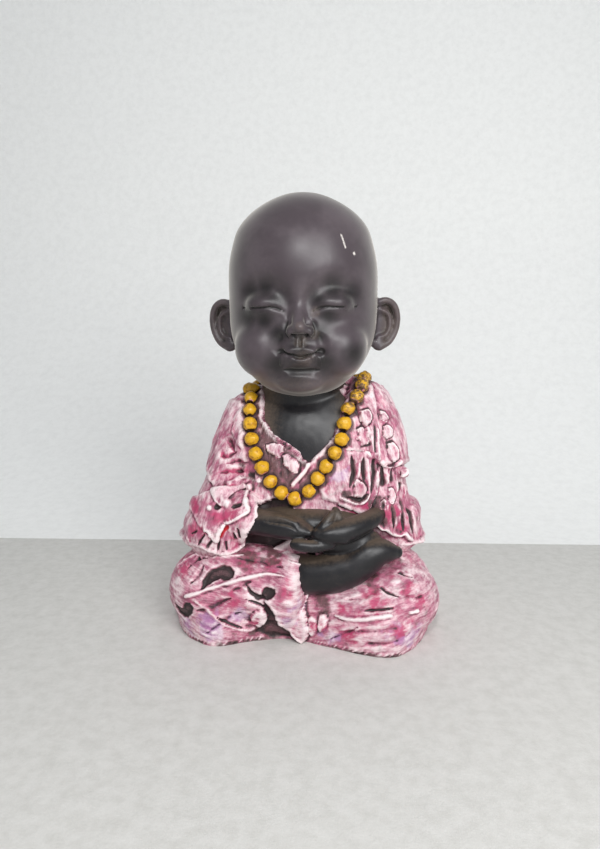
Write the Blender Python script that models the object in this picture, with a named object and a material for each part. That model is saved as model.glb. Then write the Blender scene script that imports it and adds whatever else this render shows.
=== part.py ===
"""Baby monk statue: a seated child monk cast in one piece of resin.

The whole figure is one solid. Each form (head, robe, trousers, hands, foot, beads) is
modelled as its own clay from balls, limbs and lofts, carved, and then cast together.
Every place and size of the figure is given in units of a two-hundredth of its height.
"""

import math

import bmesh
import bpy
import numpy as np
from mathutils import Euler, Vector
from mathutils.bvhtree import BVHTree

HEIGHT = 0.200  # underside to crown, metres
UNIT = HEIGHT / 200  # the figure's own unit: one millimetre at full size
BEAD_DIAMETER = 0.0064
BEAD_GAP = 0.0005  # between two neighbouring beads
BEAD_SUNK = 0.26  # share of a bead's diameter that is sunk in the robe
MERGE_VOXEL = 0.0009  # grain of each carved clay
CAST_VOXEL = 0.0009  # grain of the whole casting before its facets are thinned out
CAST_TRIANGLES = 9700
DETAIL_KEPT = 0.012  # how strongly small facets are kept in the face and the front

ARC = 0.73  # units of cloth per degree round the body
RIGHT, LEFT = -1, 1  # the figure's own hands: its right one is at -X


# Curves and distances

def smooth_rows(rows, per_span=6):
    """Rows of numbers read off a Catmull-Rom curve through the given rows."""
    rows = np.asarray(rows, float)
    padded = np.vstack([2 * rows[0] - rows[1], rows, 2 * rows[-1] - rows[-2]])
    out = []
    for a, b, c, d in zip(padded, padded[1:], padded[2:], padded[3:]):
        for t in np.arange(per_span) / per_span:
            cubic = (3 * b - a - 3 * c + d) * t**3
            out.append(0.5 * (2 * b + (c - a) * t + (2 * a - 5 * b + 4 * c - d) * t**2 + cubic))
    out.append(rows[-1])
    return np.array(out)


def closest_on_path(points, path):
    """Distance from each point to a polyline, and how far along it (0 to 1) the closest place is."""
    a, b = path[:-1], path[1:]
    run = np.concatenate([[0], np.cumsum(np.linalg.norm(b - a, axis=1))])
    best = np.full(len(points), np.inf)
    along = np.zeros(len(points))
    for i, (p, q) in enumerate(zip(a, b)):
        d = q - p
        length2 = max(d @ d, 1e-12)
        t = np.clip((points - p) @ d / length2, 0, 1)
        gap = np.linalg.norm(points - p - t[:, None] * d, axis=1)
        closer = gap < best
        best[closer] = gap[closer]
        along[closer] = (run[i] + t[closer] * math.sqrt(length2)) / max(run[-1], 1e-9)
    return best, along


def inside_distance(flat, outline):
    """Signed distance of 2-D points to a closed outline, positive inside."""
    outline = np.asarray(outline, float)
    closed = np.vstack([outline, outline[:1]])
    gap, _ = closest_on_path(flat, closed)
    x, z = flat[:, 0], flat[:, 1]
    inside = np.zeros(len(flat), bool)
    for (x0, z0), (x1, z1) in zip(closed[:-1], closed[1:]):
        crosses = (z0 > z) != (z1 > z)
        edge = x0 + (z - z0) * (x1 - x0) / ((z1 - z0) or 1e-12)
        inside ^= crosses & (x < edge)
    return np.where(inside, gap, -gap)


def ease(t):
    t = np.clip(t, 0, 1)
    return t * t * (3 - 2 * t)


# Clay: closed shapes added to one bmesh, in units

def add_ball(clay, centre, radii, turn=(0, 0, 0)):
    """An ellipsoid, turned by degrees about X, Y and Z."""
    made = bmesh.ops.create_icosphere(clay, subdivisions=4, radius=1.0)["verts"]
    rotation = Euler([math.radians(a) for a in turn]).to_matrix()
    for v in made:
        v.co = rotation @ Vector([c * r for c, r in zip(v.co, radii)]) + Vector(centre)


def add_rings(clay, rings):
    """A closed skin over rings of equally many points, with a flat fan at each end."""
    rows = [[clay.verts.new(p) for p in ring] for ring in rings]
    count = len(rows[0])
    for low, high in zip(rows, rows[1:]):
        for i in range(count):
            j = (i + 1) % count
            clay.faces.new((low[i], low[j], high[j], high[i]))
    clay.faces.new(list(reversed(rows[0])))
    clay.faces.new(rows[-1])


def add_limb(clay, stations, up=(0, 0, 1), sides=20, bluntness=1.0):
    """A round-ended limb through stations (x, y, z, half width, half height)."""
    rows = smooth_rows(stations)
    centres = rows[:, :3]
    tangents = np.gradient(centres, axis=0)
    tangents /= np.linalg.norm(tangents, axis=1)[:, None]
    angles = np.linspace(0, 2 * math.pi, sides, endpoint=False)
    cap = np.radians([8, 30, 52, 72])
    plan = [(0, -math.cos(a), math.sin(a)) for a in cap]
    plan += [(i, 0.0, 1.0) for i in range(len(rows))]
    plan += [(len(rows) - 1, math.cos(a), math.sin(a)) for a in cap[::-1]]
    rings = []
    for i, beyond, share in plan:
        t = tangents[i]
        side = np.cross(t, up)
        side /= np.linalg.norm(side)
        over = np.cross(side, t)
        wide, tall = rows[i, 3:5]
        centre = centres[i] + t * beyond * min(wide, tall) * bluntness
        rings.append(
            [centre + share * (side * wide * math.cos(a) + over * tall * math.sin(a)) for a in angles]
        )
    add_rings(clay, [ring[::-1] for ring in rings])


def add_loft(clay, sections, power=2.2, sides=48):
    """A body through level sections (z, middle x, half width, front y, back y)."""
    angles = np.linspace(0, 2 * math.pi, sides, endpoint=False)
    rings = []
    for z, middle, half, front, back in smooth_rows(sections):
        centre, deep = (front + back) / 2, (back - front) / 2
        ring = []
        for a in angles:
            c, s = math.cos(a), math.sin(a)
            ring.append(
                (
                    middle + max(half, 0.2) * math.copysign(abs(c) ** (2 / power), c),
                    centre + max(deep, 0.2) * math.copysign(abs(s) ** (2 / power), s),
                    z,
                )
            )
        rings.append(ring)
    add_rings(clay, rings)


def add_skirt(clay, outline, rows):
    """A body over one smooth level outline (x, y), pushed out or in at each row of (z, push)."""
    edge = smooth_rows(list(outline) + [outline[0]])[:-1]
    middle = edge.mean(axis=0)
    away = edge - middle
    away /= np.linalg.norm(away, axis=1)[:, None]
    add_rings(clay, [[(x, y, z) for x, y in edge + away * push] for z, push in rows])


# Meshes of one clay, and carving

class Carving:
    """One closed mesh of points, faces and normals, in units, that tools move along its normals."""

    def __init__(self, clay, voxel, rounds=12):
        bmesh.ops.recalc_face_normals(clay, faces=clay.faces)
        mesh = merged_mesh(clay, voxel / UNIT)
        self.take(mesh)
        bpy.data.meshes.remove(mesh)
        self.relax(rounds)

    def take(self, mesh):
        self.points = np.empty(len(mesh.vertices) * 3)
        mesh.vertices.foreach_get("co", self.points)
        self.points = self.points.reshape(-1, 3)
        self.faces = [tuple(p.vertices) for p in mesh.polygons]
        self.edges = np.empty(len(mesh.edges) * 2, int)
        mesh.edges.foreach_get("vertices", self.edges)
        self.edges = self.edges.reshape(-1, 2)
        quads = np.array([f if len(f) == 4 else f + f[-1:] for f in self.faces])
        self.quads = quads
        self.refresh()

    def refresh(self):
        """Normals and a search tree of the mesh as it is now."""
        q = self.points[self.quads]
        face_normals = np.cross(q[:, 2] - q[:, 0], q[:, 3] - q[:, 1])
        self.normals = np.zeros_like(self.points)
        for k in range(4):
            np.add.at(self.normals, self.quads[:, k], face_normals)
        self.normals /= np.maximum(np.linalg.norm(self.normals, axis=1), 1e-12)[:, None]
        self.tree = BVHTree.FromPolygons([Vector(p) for p in self.points], self.faces)

    def soften(self, rounds, where):
        """Melts the creases of the points chosen by a mask."""
        a, b = self.edges.T
        count = np.bincount(self.edges.ravel(), minlength=len(self.points))[:, None]
        for _ in range(rounds):
            total = np.zeros_like(self.points)
            for k in range(3):
                total[:, k] = np.bincount(a, self.points[b, k], len(self.points))
                total[:, k] += np.bincount(b, self.points[a, k], len(self.points))
            self.points += 0.6 * where[:, None] * (total / count - self.points)
        self.refresh()

    def as_clay(self):
        """The carved mesh as fresh clay, so more shapes can be merged into it."""
        clay = bmesh.new()
        made = [clay.verts.new(p) for p in self.points]
        for face in self.faces:
            clay.faces.new([made[i] for i in face])
        return clay

    def relax(self, rounds):
        """Smooths without shrinking: a step in, then a slightly larger step out."""
        a, b = self.edges.T
        count = np.bincount(self.edges.ravel(), minlength=len(self.points))[:, None]
        for step in (0.6, -0.62) * rounds:
            total = np.zeros_like(self.points)
            for k in range(3):
                total[:, k] = np.bincount(a, self.points[b, k], len(self.points))
                total[:, k] += np.bincount(b, self.points[a, k], len(self.points))
            self.points += step * (total / count - self.points)
        self.refresh()

    def hit(self, start, direction):
        """Where a ray first meets the surface, or None."""
        return self.tree.ray_cast(Vector(start), Vector(direction))[0]

    def front(self, path):
        """A path of (x, z) laid on the surface as seen from the front."""
        laid = [self.hit((x, -200, z), (0, 1, 0)) for x, z in smooth_rows(path, 5)]
        return np.array([p for p in laid if p is not None])

    def around(self, path, axis=(0, 0)):
        """A path of (degrees from the front, z) laid on the surface, seen from all round."""
        laid = []
        for degrees, z in smooth_rows(path, 5):
            a = math.radians(degrees)
            out = Vector((math.sin(a), -math.cos(a), 0))
            laid.append(self.hit(Vector((axis[0], axis[1], z)) + out * 200, -out))
        return np.array([p for p in laid if p is not None])

    def stroke(self, path, width, height, flat=0.0, taper=0.25):
        """Raises (or sinks, with a negative height) a band along a path that lies on the surface."""
        if len(path) < 2:
            return
        reach = np.ptp(path, axis=0) / 2 + width + 1
        near = np.all(np.abs(self.points - path.mean(axis=0)) < reach, axis=1)
        gap, along = closest_on_path(self.points[near], path)
        wide = width * (ease(np.minimum(along, 1 - along) / taper * 0.75 + 0.25) if taper else 1.0)
        share = 1 - ease((gap / np.maximum(wide, 1e-6) - flat) / (1 - flat))
        self.points[near] += self.normals[near] * (share * height)[:, None]

    def dab(self, x, z, radius, height):
        """Raises or sinks a round spot on the front, with a flat middle and a soft edge."""
        spot = self.hit((x, -200, z), (0, 1, 0))
        gap = np.linalg.norm(self.points - np.array(spot), axis=1)
        share = 1 - ease((gap / radius - 0.55) / 0.75)
        self.points += self.normals * (share * height)[:, None]

    def panel(self, outline, height, edge=0.8, turned=False, fade=None):
        """Raises the surface inside an outline of (x, z) in front, or of (degrees from the front, z).

        A fade (x0, z0, x1, z1) is the place from which its height grows, and where it has all of it.
        """
        outline = np.array(outline, float)
        flat = self.points[:, [0, 2]]
        facing = np.clip(-self.normals[:, 1] / 0.3, 0, 1)
        if turned:
            degrees = np.degrees(np.arctan2(flat[:, 0], -self.points[:, 1]))
            flat = np.stack([(degrees % 360) * ARC, flat[:, 1]], axis=1)
            outline[:, 0] *= ARC
            facing = np.ones(len(flat))
        box = np.all((flat > outline.min(axis=0) - 2) & (flat < outline.max(axis=0) + 2), axis=1)
        near = box & (facing > 0)
        share = ease(inside_distance(flat[near], outline) / edge + 0.5) * facing[near]
        if fade:
            start, end = np.array(fade[:2]), np.array(fade[2:])
            share *= ease((flat[near] - start) @ (end - start) / ((end - start) @ (end - start)))
        self.points[near] += self.normals[near] * (share * height)[:, None]


def merged_mesh(clay, voxel):
    """The outer skin of all the closed shapes in a bmesh, as one even mesh. It empties the bmesh."""
    mesh = bpy.data.meshes.new("clay")
    clay.to_mesh(mesh)
    clay.free()
    obj = bpy.data.objects.new("clay", mesh)
    bpy.context.scene.collection.objects.link(obj)
    remesh = obj.modifiers.new("merge", "REMESH")
    remesh.mode = "VOXEL"
    remesh.voxel_size = voxel
    graph = bpy.context.evaluated_depsgraph_get()
    out = bpy.data.meshes.new_from_object(obj.evaluated_get(graph))
    bpy.data.objects.remove(obj)
    bpy.data.meshes.remove(mesh)
    return out


# The head

HEAD_SECTIONS = [  # z, middle x, half width, front y, back y
    (110.0, 0, 3.0, -21.0, -14.0),
    (112.0, 0, 13.5, -27.0, 3.0),
    (115.5, 0, 19.5, -31.0, 11.0),
    (120.5, 0, 25.0, -34.2, 17.0),
    (126.0, 0, 28.8, -35.8, 22.0),
    (133.0, 0, 31.8, -36.4, 26.5),
    (141.0, 0, 33.6, -36.2, 30.5),
    (150.0, 0, 34.0, -36.2, 33.5),
    (160.0, 0, 34.2, -37.2, 35.0),
    (169.0, 0, 33.8, -37.0, 34.8),
    (177.0, 0, 32.0, -35.2, 32.6),
    (184.0, 0, 29.6, -31.8, 28.6),
    (190.5, 0, 24.0, -26.6, 22.6),
    (195.5, 0, 16.6, -20.0, 15.6),
    (198.8, 0, 9.0, -12.4, 8.0),
    (200.0, 0, 3.0, -5.2, 0.8),
]
EYE_Z = 148.0
LASH_LINE = [  # x, z from EYE_Z
    (6.2, -0.8), (8.4, 0.3), (11.6, 0.8), (16.6, 0.4), (22.0, 0.6), (24.6, 1.1),
]
FACE_MIDDLE = 0.8  # the nose and mouth sit a little to the viewer's right
SMILE = [
    (-8.2, 131.0), (-5.4, 129.4), (-3.4, 129.1), (-0.2, 128.4), (2.8, 128.9), (5.2, 129.3), (8.4, 130.9),
]
CHIN_Z = 117.2
EAR_Z = 141.5
EAR_TILT = 18  # degrees that the ear stands out from the side of the head
HEAD_LEAN = 0.5  # degrees that the head leans to its own right


def face_clay(clay):
    """The broad forms of a sleeping child's face: cheeks, lids, muzzle and chin."""
    for side in (RIGHT, LEFT):
        add_ball(clay, (side * 15.8, -21.6, 131.8), (13.4, 14.6, 13.8))
        add_ball(clay, (side * 14.4, -29.8, 151.2), (9.0, 6.8, 5.8), (0, 0, side * 14))
    add_ball(clay, (0, -33.2, 129.4), (9.4, 5.0, 7.4))
    add_ball(clay, (0, -29.4, CHIN_Z), (10.8, 5.8, 4.8))


def nose_and_lips(clay):
    """The small raised forms in the middle of the face."""
    bridge = [(0, -33.2, 153, 2.6, 1.6), (0, -34.6, 148, 2.3, 2.2), (0, -38.0, 142.8, 2.6, 2.4)]
    add_limb(clay, bridge, up=(0, 1, 0))
    m = FACE_MIDDLE
    add_ball(clay, (m, -39.4, 140.6), (3.0, 3.3, 2.8))
    for side in (RIGHT, LEFT):
        add_ball(clay, (m + side * 4.0, -37.0, 138.9), (2.4, 3.0, 2.4))
        add_ball(clay, (m + side * 3.2, -36.6, 131.2), (4.2, 2.4, 1.6), (0, side * 10, 0))
    add_ball(clay, (m, -36.2, 126.7), (5.2, 2.6, 1.6))


def carve_face(head):
    """Closed lids, nostrils, the smiling mouth and its creases."""
    m = FACE_MIDDLE
    for s in (RIGHT, LEFT):
        lashes = [(s * x, EYE_Z + rise) for x, rise in LASH_LINE]
        head.stroke(head.front([(x, z + 2.2) for x, z in lashes]), 2.2, 0.8, flat=0.2)
        head.stroke(head.front(lashes), 1.0, -1.7, taper=0.15)
        head.stroke(head.front([(x, z - 1.7) for x, z in lashes[:4]]), 1.4, 0.5)
        wing = [(m + s * x, z) for x, z in ((4.9, 144.0), (6.0, 141.4), (6.3, 138.2), (4.8, 136.2))]
        head.stroke(head.front(wing), 1.3, -1.2)
        head.stroke(head.front([(m + s * 1.8, 137.3), (m + s * 3.8, 137.1)]), 1.5, -2.2, taper=0.1)
        fold = [(m + s * x, z) for x, z in ((7.6, 138.0), (9.4, 133.5), (10.0, 129.0))]
        head.stroke(head.front(fold), 3.2, -1.0)
        head.dab(m + s * 8.3, 130.6, 1.7, -1.3)
        head.stroke(head.front([(m + s * 7.9, 128.6), (m + s * 8.3, 124.6)]), 1.0, 0.7)
        head.stroke(head.front([(m + s * 1.1, 136.2), (m + s * 1.2, 132.8)]), 0.8, 0.8)
    head.stroke(head.front([(m + x, z) for x, z in SMILE]), 1.2, -2.2, taper=0.1)
    head.stroke(head.front([(m, 136.4), (m, 132.8)]), 0.8, -0.9)
    head.stroke(head.front([(-6.5, 122.8), (m, 122.2), (8.5, 122.8)]), 2.5, -1.5)
    head.stroke(head.front([(-10, 120.2), (-3.4, 120.9), (2.5, 121.0), (10, 119.9)]), 1.5, 0.5)
    head.refresh()


def ear_clay(clay, side):
    """A standing ear: a thin shell, its rolled rim, the inner fold and the lobe."""
    middle = Vector((side * 37.3, 1.0, EAR_Z))
    turn = Euler((0, 0, math.radians(side * EAR_TILT))).to_matrix()

    def place(out, deep, up):
        return tuple(middle + turn @ Vector((side * out, deep, up)))

    add_ball(clay, place(-2.2, 1.6, 0.4), (8.2, 2.4, 11.2), (0, 0, side * EAR_TILT))
    add_ball(clay, place(-2.0, 1.0, 6.6), (5.4, 2.2, 4.6), (0, 0, side * EAR_TILT))
    rim = [
        (-4.6, -1.2, 9.6),
        (0.2, -1.8, 10.8),
        (4.2, -1.6, 8.6),
        (6.0, -1.2, 3.6),
        (5.4, -1.0, -2.4),
        (2.4, -1.0, -7.8),
        (-2.6, -1.2, -10.8),
    ]
    add_limb(clay, [(*place(*p), 1.6, 1.9) for p in rim], up=(0, 1, 0.01))
    fold = [(-2.4, -0.9, 6.8), (1.6, -0.8, 4.6), (2.6, -0.8, -0.6), (0.8, -0.8, -4.8), (-3.2, -0.9, -6.2)]
    add_limb(clay, [(*place(*p), 1.1, 1.5) for p in fold], up=(0, 1, 0.01))
    add_ball(clay, place(-2.6, -0.6, -9.2), (3.6, 2.2, 3.0), (0, 0, side * EAR_TILT))


def model_head():
    clay = bmesh.new()
    add_loft(clay, HEAD_SECTIONS, power=2.1)
    face_clay(clay)
    head = Carving(clay, MERGE_VOXEL, rounds=4)
    for s in (RIGHT, LEFT):
        brow = [(s * 3.4, 149), (s * 6.0, 154.6), (s * 13.5, 157.8), (s * 20, 156.8), (s * 24, 153)]
        head.stroke(head.front(brow), 7.5, -2.2, taper=0.4)
        beside_nose = [(s * 4.6, 153), (s * 5.6, 148), (s * 8.0, 143.5)]
        head.stroke(head.front(beside_nose), 4.0, -1.9, taper=0.3)
        under_eye = [(s * 7.2, 144.8), (s * 14.5, 142.6), (s * 22.5, 145.0)]
        head.stroke(head.front(under_eye), 3.4, -0.7, taper=0.4)
    head.soften(round(0.020 / MERGE_VOXEL), np.ones(len(head.points)))
    clay = head.as_clay()
    nose_and_lips(clay)
    for side in (RIGHT, LEFT):
        ear_clay(clay, side)
    head = Carving(clay, MERGE_VOXEL, rounds=4)
    middle = (np.abs(head.points[:, 0]) < 12) & (head.points[:, 1] < -28)
    head.soften(5, middle.astype(float))
    carve_face(head)
    head.relax(2)
    lean = math.radians(HEAD_LEAN)
    x, z = head.points[:, 0].copy(), head.points[:, 2] - CHIN_Z
    head.points[:, 0] = x * math.cos(lean) - z * math.sin(lean)
    head.points[:, 2] = CHIN_Z + x * math.sin(lean) + z * math.cos(lean)
    head.refresh()
    return head


# The robe

ROBE_SECTIONS = [  # z, middle x, half width, front y, back y
    (30.0, 0, 49.0, -25.0, 37.0),
    (40.0, 0, 47.5, -25.5, 36.5),
    (50.0, 0, 46.0, -25.5, 35.5),
    (60.0, 0, 44.5, -25.0, 34.5),
    (70.0, 0.3, 43.0, -25.0, 33.5),
    (80.0, 0.8, 41.0, -24.5, 32.5),
    (90.0, 1.2, 38.5, -23.0, 31.0),
    (98.0, 1.8, 35.5, -20.5, 29.0),
    (104.0, 2.4, 32.0, -17.5, 26.5),
    (109.0, 3.0, 28.0, -14.5, 23.5),
    (113.0, 3.0, 23.5, -11.5, 20.0),
    (116.5, 3.0, 17.0, -7.0, 15.0),
]
SLEEVES = {  # x, y, z, half width, half depth, from the shoulder down
    RIGHT: [
        (-26, 3, 99, 11, 13),
        (-31, 1, 84, 12.0, 15),
        (-33.5, -5, 68, 13.0, 17),
        (-36, -11, 55, 15.5, 18),
        (-38.5, -13, 46, 17.0, 17.5),
    ],
    LEFT: [
        (30, 4, 103, 10, 12),
        (35, 2, 88, 11.5, 14),
        (36.5, -1, 70, 12.0, 15.5),
        (38.5, -3, 56, 13.0, 15.0),
        (42.0, -4, 46, 14.5, 14.0),
    ],
}
SLEEVE_MOUTHS = [
    [(-37, -10, 52, 14, 14), (-29, -19, 54, 11.5, 12.5), (-21, -24.5, 55.0, 9.6, 10.6)],
    [(41, -3, 57, 11, 12), (38, -11, 55, 10, 11.5), (36, -17, 54.2, 8.6, 10)],
]
CHEST_SUNK = 3.4  # from the lapels down to the bare chest
NECK_OPENING = [
    (-20.0, 120), (-18.6, 104.7), (-18.2, 100.1), (-14.6, 93.8), (-9.7, 89.7), (-4.2, 86.1), (1.2, 81.8),
    (3.5, 80.6), (8.4, 84.9), (13.8, 90.5), (16.9, 97.8), (19.0, 105.9), (22.4, 114.0), (23.0, 120),
]
RIGHT_LAPEL = [
    (-19.2, 108), (-18.6, 101.1), (-15.2, 94.4), (-10.3, 90.3), (-4.8, 86.7), (0.8, 82.0), (3.2, 80.4),
]
LEFT_LAPEL = [(5.4, 81.6), (9.4, 85.3), (14.6, 90.8), (17.8, 98.0), (20.0, 106)]
PETALS = [  # corners x, z, laid on the front
    [(-15.8, 88.1), (-11.6, 89.1), (-7.6, 87.2), (-9.3, 82.9), (-12.4, 84.2), (-14.9, 85.4)],
    [(-8.2, 83.8), (-5.7, 84.3), (-0.9, 80.1), (-1.4, 76.4), (-3.8, 76.7), (-7.3, 79.5)],
    [(26.2, 103.3), (30.0, 103.9), (31.7, 100.8), (30.7, 97.9), (28.5, 96.7), (26.5, 98.9)],
    [
        (25.0, 95.3), (27.1, 96.2), (28.6, 94.7), (30.5, 92.7), (30.0, 88.7), (27.0, 88.2), (26.2, 90.5),
        (24.8, 91.4), (26.1, 93.0),
    ],
    [(35.8, 102.6), (37.7, 101.9), (39.4, 99.2), (38.2, 97.5), (36.3, 98.9)],
    [(37.1, 95.6), (39.1, 96.2), (41.1, 94.2), (40.9, 91.3), (38.7, 90.3), (36.9, 92.2)],
    [(39.0, 88.1), (41.4, 88.6), (44.0, 85.2), (44.3, 81.0), (42.0, 79.7), (39.7, 82.6)],
    [(25.2, 73.3), (28.4, 71.1), (29.8, 67.9), (27.5, 64.8), (24.4, 65.6), (24.0, 69.6)],
    [(39.8, 67.6), (41.7, 67.7), (43.0, 63.5), (41.6, 61.3), (40.0, 62.5)],
    [(36.2, 62.5), (37.8, 63.5), (38.6, 60.5), (37.2, 57.8), (36.0, 59.5)],
    [(-20.5, 77.5), (-17.0, 76.5), (-18.2, 71.5), (-20.6, 73.5)],
]
SLEEVE_BULGE = [
    (-50, 106), (-28, 106), (-25.5, 86), (-24, 72), (-27, 66), (-34, 61.3), (-37, 64), (-40, 69.3),
    (-45, 74), (-52, 80),
]
ELBOW_FOLD = [(-46, 76), (-43, 72), (-40.2, 69.0), (-37, 64), (-34.1, 62.0)]
SLEEVE_CREASES = [
    [(-37, 75.2), (-31, 76.2), (-25.5, 75.4)], [(-37, 71.0), (-31, 71.4), (-24.6, 72.4)],
    [(-34, 79.2), (-29, 80.2), (-25, 79.6)], [(-40, 88), (-36, 82), (-30, 84)],
    [(-36, 98), (-34, 90), (-31, 84)],
]
LEAF_FOLD = [(-27.5, 105.5), (-25.6, 95), (-26.2, 85), (-30.0, 88), (-32.8, 92.3), (-31.5, 99)]
RIBBON = [  # the edge that zigzags down the sleeve's mouth
    (-23.6, 68.8), (-24.2, 66.2), (-24.0, 64.0), (-22.8, 61.6), (-23.4, 60.0), (-26.2, 58.3),
    (-30.1, 56.0), (-33.1, 54.7), (-34.9, 51.7), (-36.2, 48.9), (-37.2, 46.2), (-39.0, 48.1),
    (-41.1, 50.9), (-44.0, 51.2),
]
INNER_HEM = [
    (-12.9, 63.8), (-17.1, 61.6), (-19.5, 62.0), (-20.0, 60.2), (-19.4, 56.8), (-21.7, 53.3),
    (-23.8, 50.2), (-24.7, 44.6),
]
FAN_HEM = [
    (-24.7, 44.6), (-28.2, 41.4), (-32.0, 39.8), (-36.0, 39.6), (-38.6, 40.6), (-41.6, 41.6),
    (-44.8, 43.0), (-49.7, 42.6), (-52.0, 44.0),
]
FAN_PLEATS = [
    [(-27.6, 52.5), (-26.4, 44.8)], [(-29.6, 49.5), (-28.4, 42.8)], [(-33.0, 46.0), (-32.8, 40.8)],
    [(-35.6, 46.4), (-37.2, 40.8)], [(-39.0, 46.8), (-42.0, 42.2)], [(-43.0, 48.6), (-46.1, 43.4)],
    [(-43.5, 52.0), (-50.0, 47.5)],
]
FLAP = [
    (23, 116), (31, 113), (33.3, 104), (33.9, 92), (33.4, 83.6), (31.6, 83.6), (27.2, 86.2), (20.1, 86.6),
    (18.6, 90), (20.0, 98), (21.6, 105),
]
FLAP_HEM = [(18.0, 87.0), (22.8, 86.6), (27.3, 85.6), (32.1, 82.6)]
SHAWL = [  # degrees from the front, z: the cape over the left shoulder and across the back
    (62, 119), (60, 104), (60.5, 92), (62, 81.2), (68, 78.6), (76, 77.8), (90, 78.2), (105, 75), (125, 70),
    (150, 64), (180, 58), (210, 54), (236, 55), (248, 62), (250, 72), (240, 84), (215, 94), (185, 101),
    (160, 107), (130, 114), (95, 119),
]
SHAWL_HEM = [
    (76, 77.8), (90, 78.2), (105, 75), (125, 70), (150, 64), (180, 58), (210, 54), (236, 55), (248, 62),
]
SHAWL_TOP = [(250, 72), (240, 84), (215, 94), (185, 101), (160, 107), (130, 114)]
CAPE_HEM = [(35.0, 82.0), (37.4, 78.5), (41.2, 77.0), (46.0, 79.5), (47.8, 75.0), (45.0, 73.4)]
ROBE_FRONT = [
    (16, 87), (33.1, 83.7), (34.2, 71.3), (33.0, 63.5), (31.0, 59.6), (27.6, 57.6), (23.0, 59.4),
    (16.0, 62.6), (10, 65), (8, 70), (13, 80),
]
ROBE_FRONT_HEM = [
    (33.4, 82.0), (34.2, 71.3), (33.0, 63.5), (31.0, 59.6), (27.6, 57.8), (23.0, 59.6), (15.9, 62.9),
]
SECOND_HEM = [(31.2, 66.5), (29.4, 63.2), (26.4, 61.8), (21.3, 63.6), (17.5, 65.6)]
ROBE_FOLDS = [
    [(28.2, 83.0), (27.9, 77.0), (28.6, 72.0)], [(32.2, 82.0), (32.6, 76.0), (32.0, 66.0)],
    [(22.6, 84.0), (23.6, 76.0), (22.0, 70.0)], [(30.6, 66.0), (26.5, 63.4), (21.0, 65.4)],
    [(36.6, 78.0), (37.0, 68.0), (37.2, 55.5)], [(41.0, 76.5), (41.4, 68.0), (42.4, 50.0)],
    [(45.0, 75.0), (45.7, 66.0), (47.0, 48.0)], [(48.6, 62.0), (51.5, 46.0)],
]
LEFT_SLEEVE_HEM = [
    (34.4, 57.0), (35.0, 52.9), (37.0, 50.1), (39.4, 49.8), (41.4, 47.5), (45.2, 45.8), (47.4, 46.4),
    (49.9, 43.8), (54.5, 41.0), (57, 42),
]
COLLAR = [(100, 112), (140, 108), (180, 106), (220, 108), (260, 112)]  # degrees from the front, z
BACK_HEM = [(70, 41), (100, 42), (140, 39), (180, 38), (220, 39), (262, 42), (292, 44)]
SHAWL_FOLDS = [  # degrees from the front, z
    [(88, 106), (105, 96), (135, 84), (170, 74), (205, 66), (238, 64)],
    [(92, 94), (112, 84), (142, 74), (180, 65), (215, 60)],
    [(120, 108), (150, 96), (185, 87), (215, 79), (242, 74)],
]
BACK_FOLDS = [
    [(112, 68), (118, 44)], [(130, 64), (136, 42)], [(150, 58), (154, 42)], [(171, 54), (172, 42)],
    [(192, 52), (190, 42)], [(212, 49), (208, 42)], [(232, 49), (228, 43)], [(210, 106), (222, 92)],
    [(230, 104), (240, 88)],
]


def robe_clay(clay):
    """The wrapped body, both sleeves and their flared lower ends."""
    add_loft(clay, ROBE_SECTIONS, power=2.3)
    for side in (RIGHT, LEFT):
        add_limb(clay, SLEEVES[side], up=(0, 1, 0.01), sides=28)
    for mouth in SLEEVE_MOUTHS:
        add_limb(clay, mouth, sides=28, bluntness=0.5)
    add_ball(clay, (-45.0, -13, 49), (9.5, 14, 10), (0, -24, 0))
    add_ball(clay, (-50.5, -10, 43), (7.0, 12, 8), (0, -36, 0))
    add_ball(clay, (48.0, -2, 50), (7.5, 13, 11), (0, 24, 0))
    add_ball(clay, (51.5, -1, 43), (6.0, 12, 6.5), (0, 30, 0))
    add_ball(clay, (-47.0, -22.0, 52.5), (3.6, 5.0, 3.4), (0, -30, 0))
    add_ball(clay, (-51.5, -19.0, 43.5), (4.4, 6.0, 3.6), (0, -20, 0))
    add_ball(clay, (46.5, -12.5, 74.5), (3.2, 3.4, 2.6), (0, 30, 0))
    add_ball(clay, (0, 12, 44), (46, 26, 10))


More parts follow.
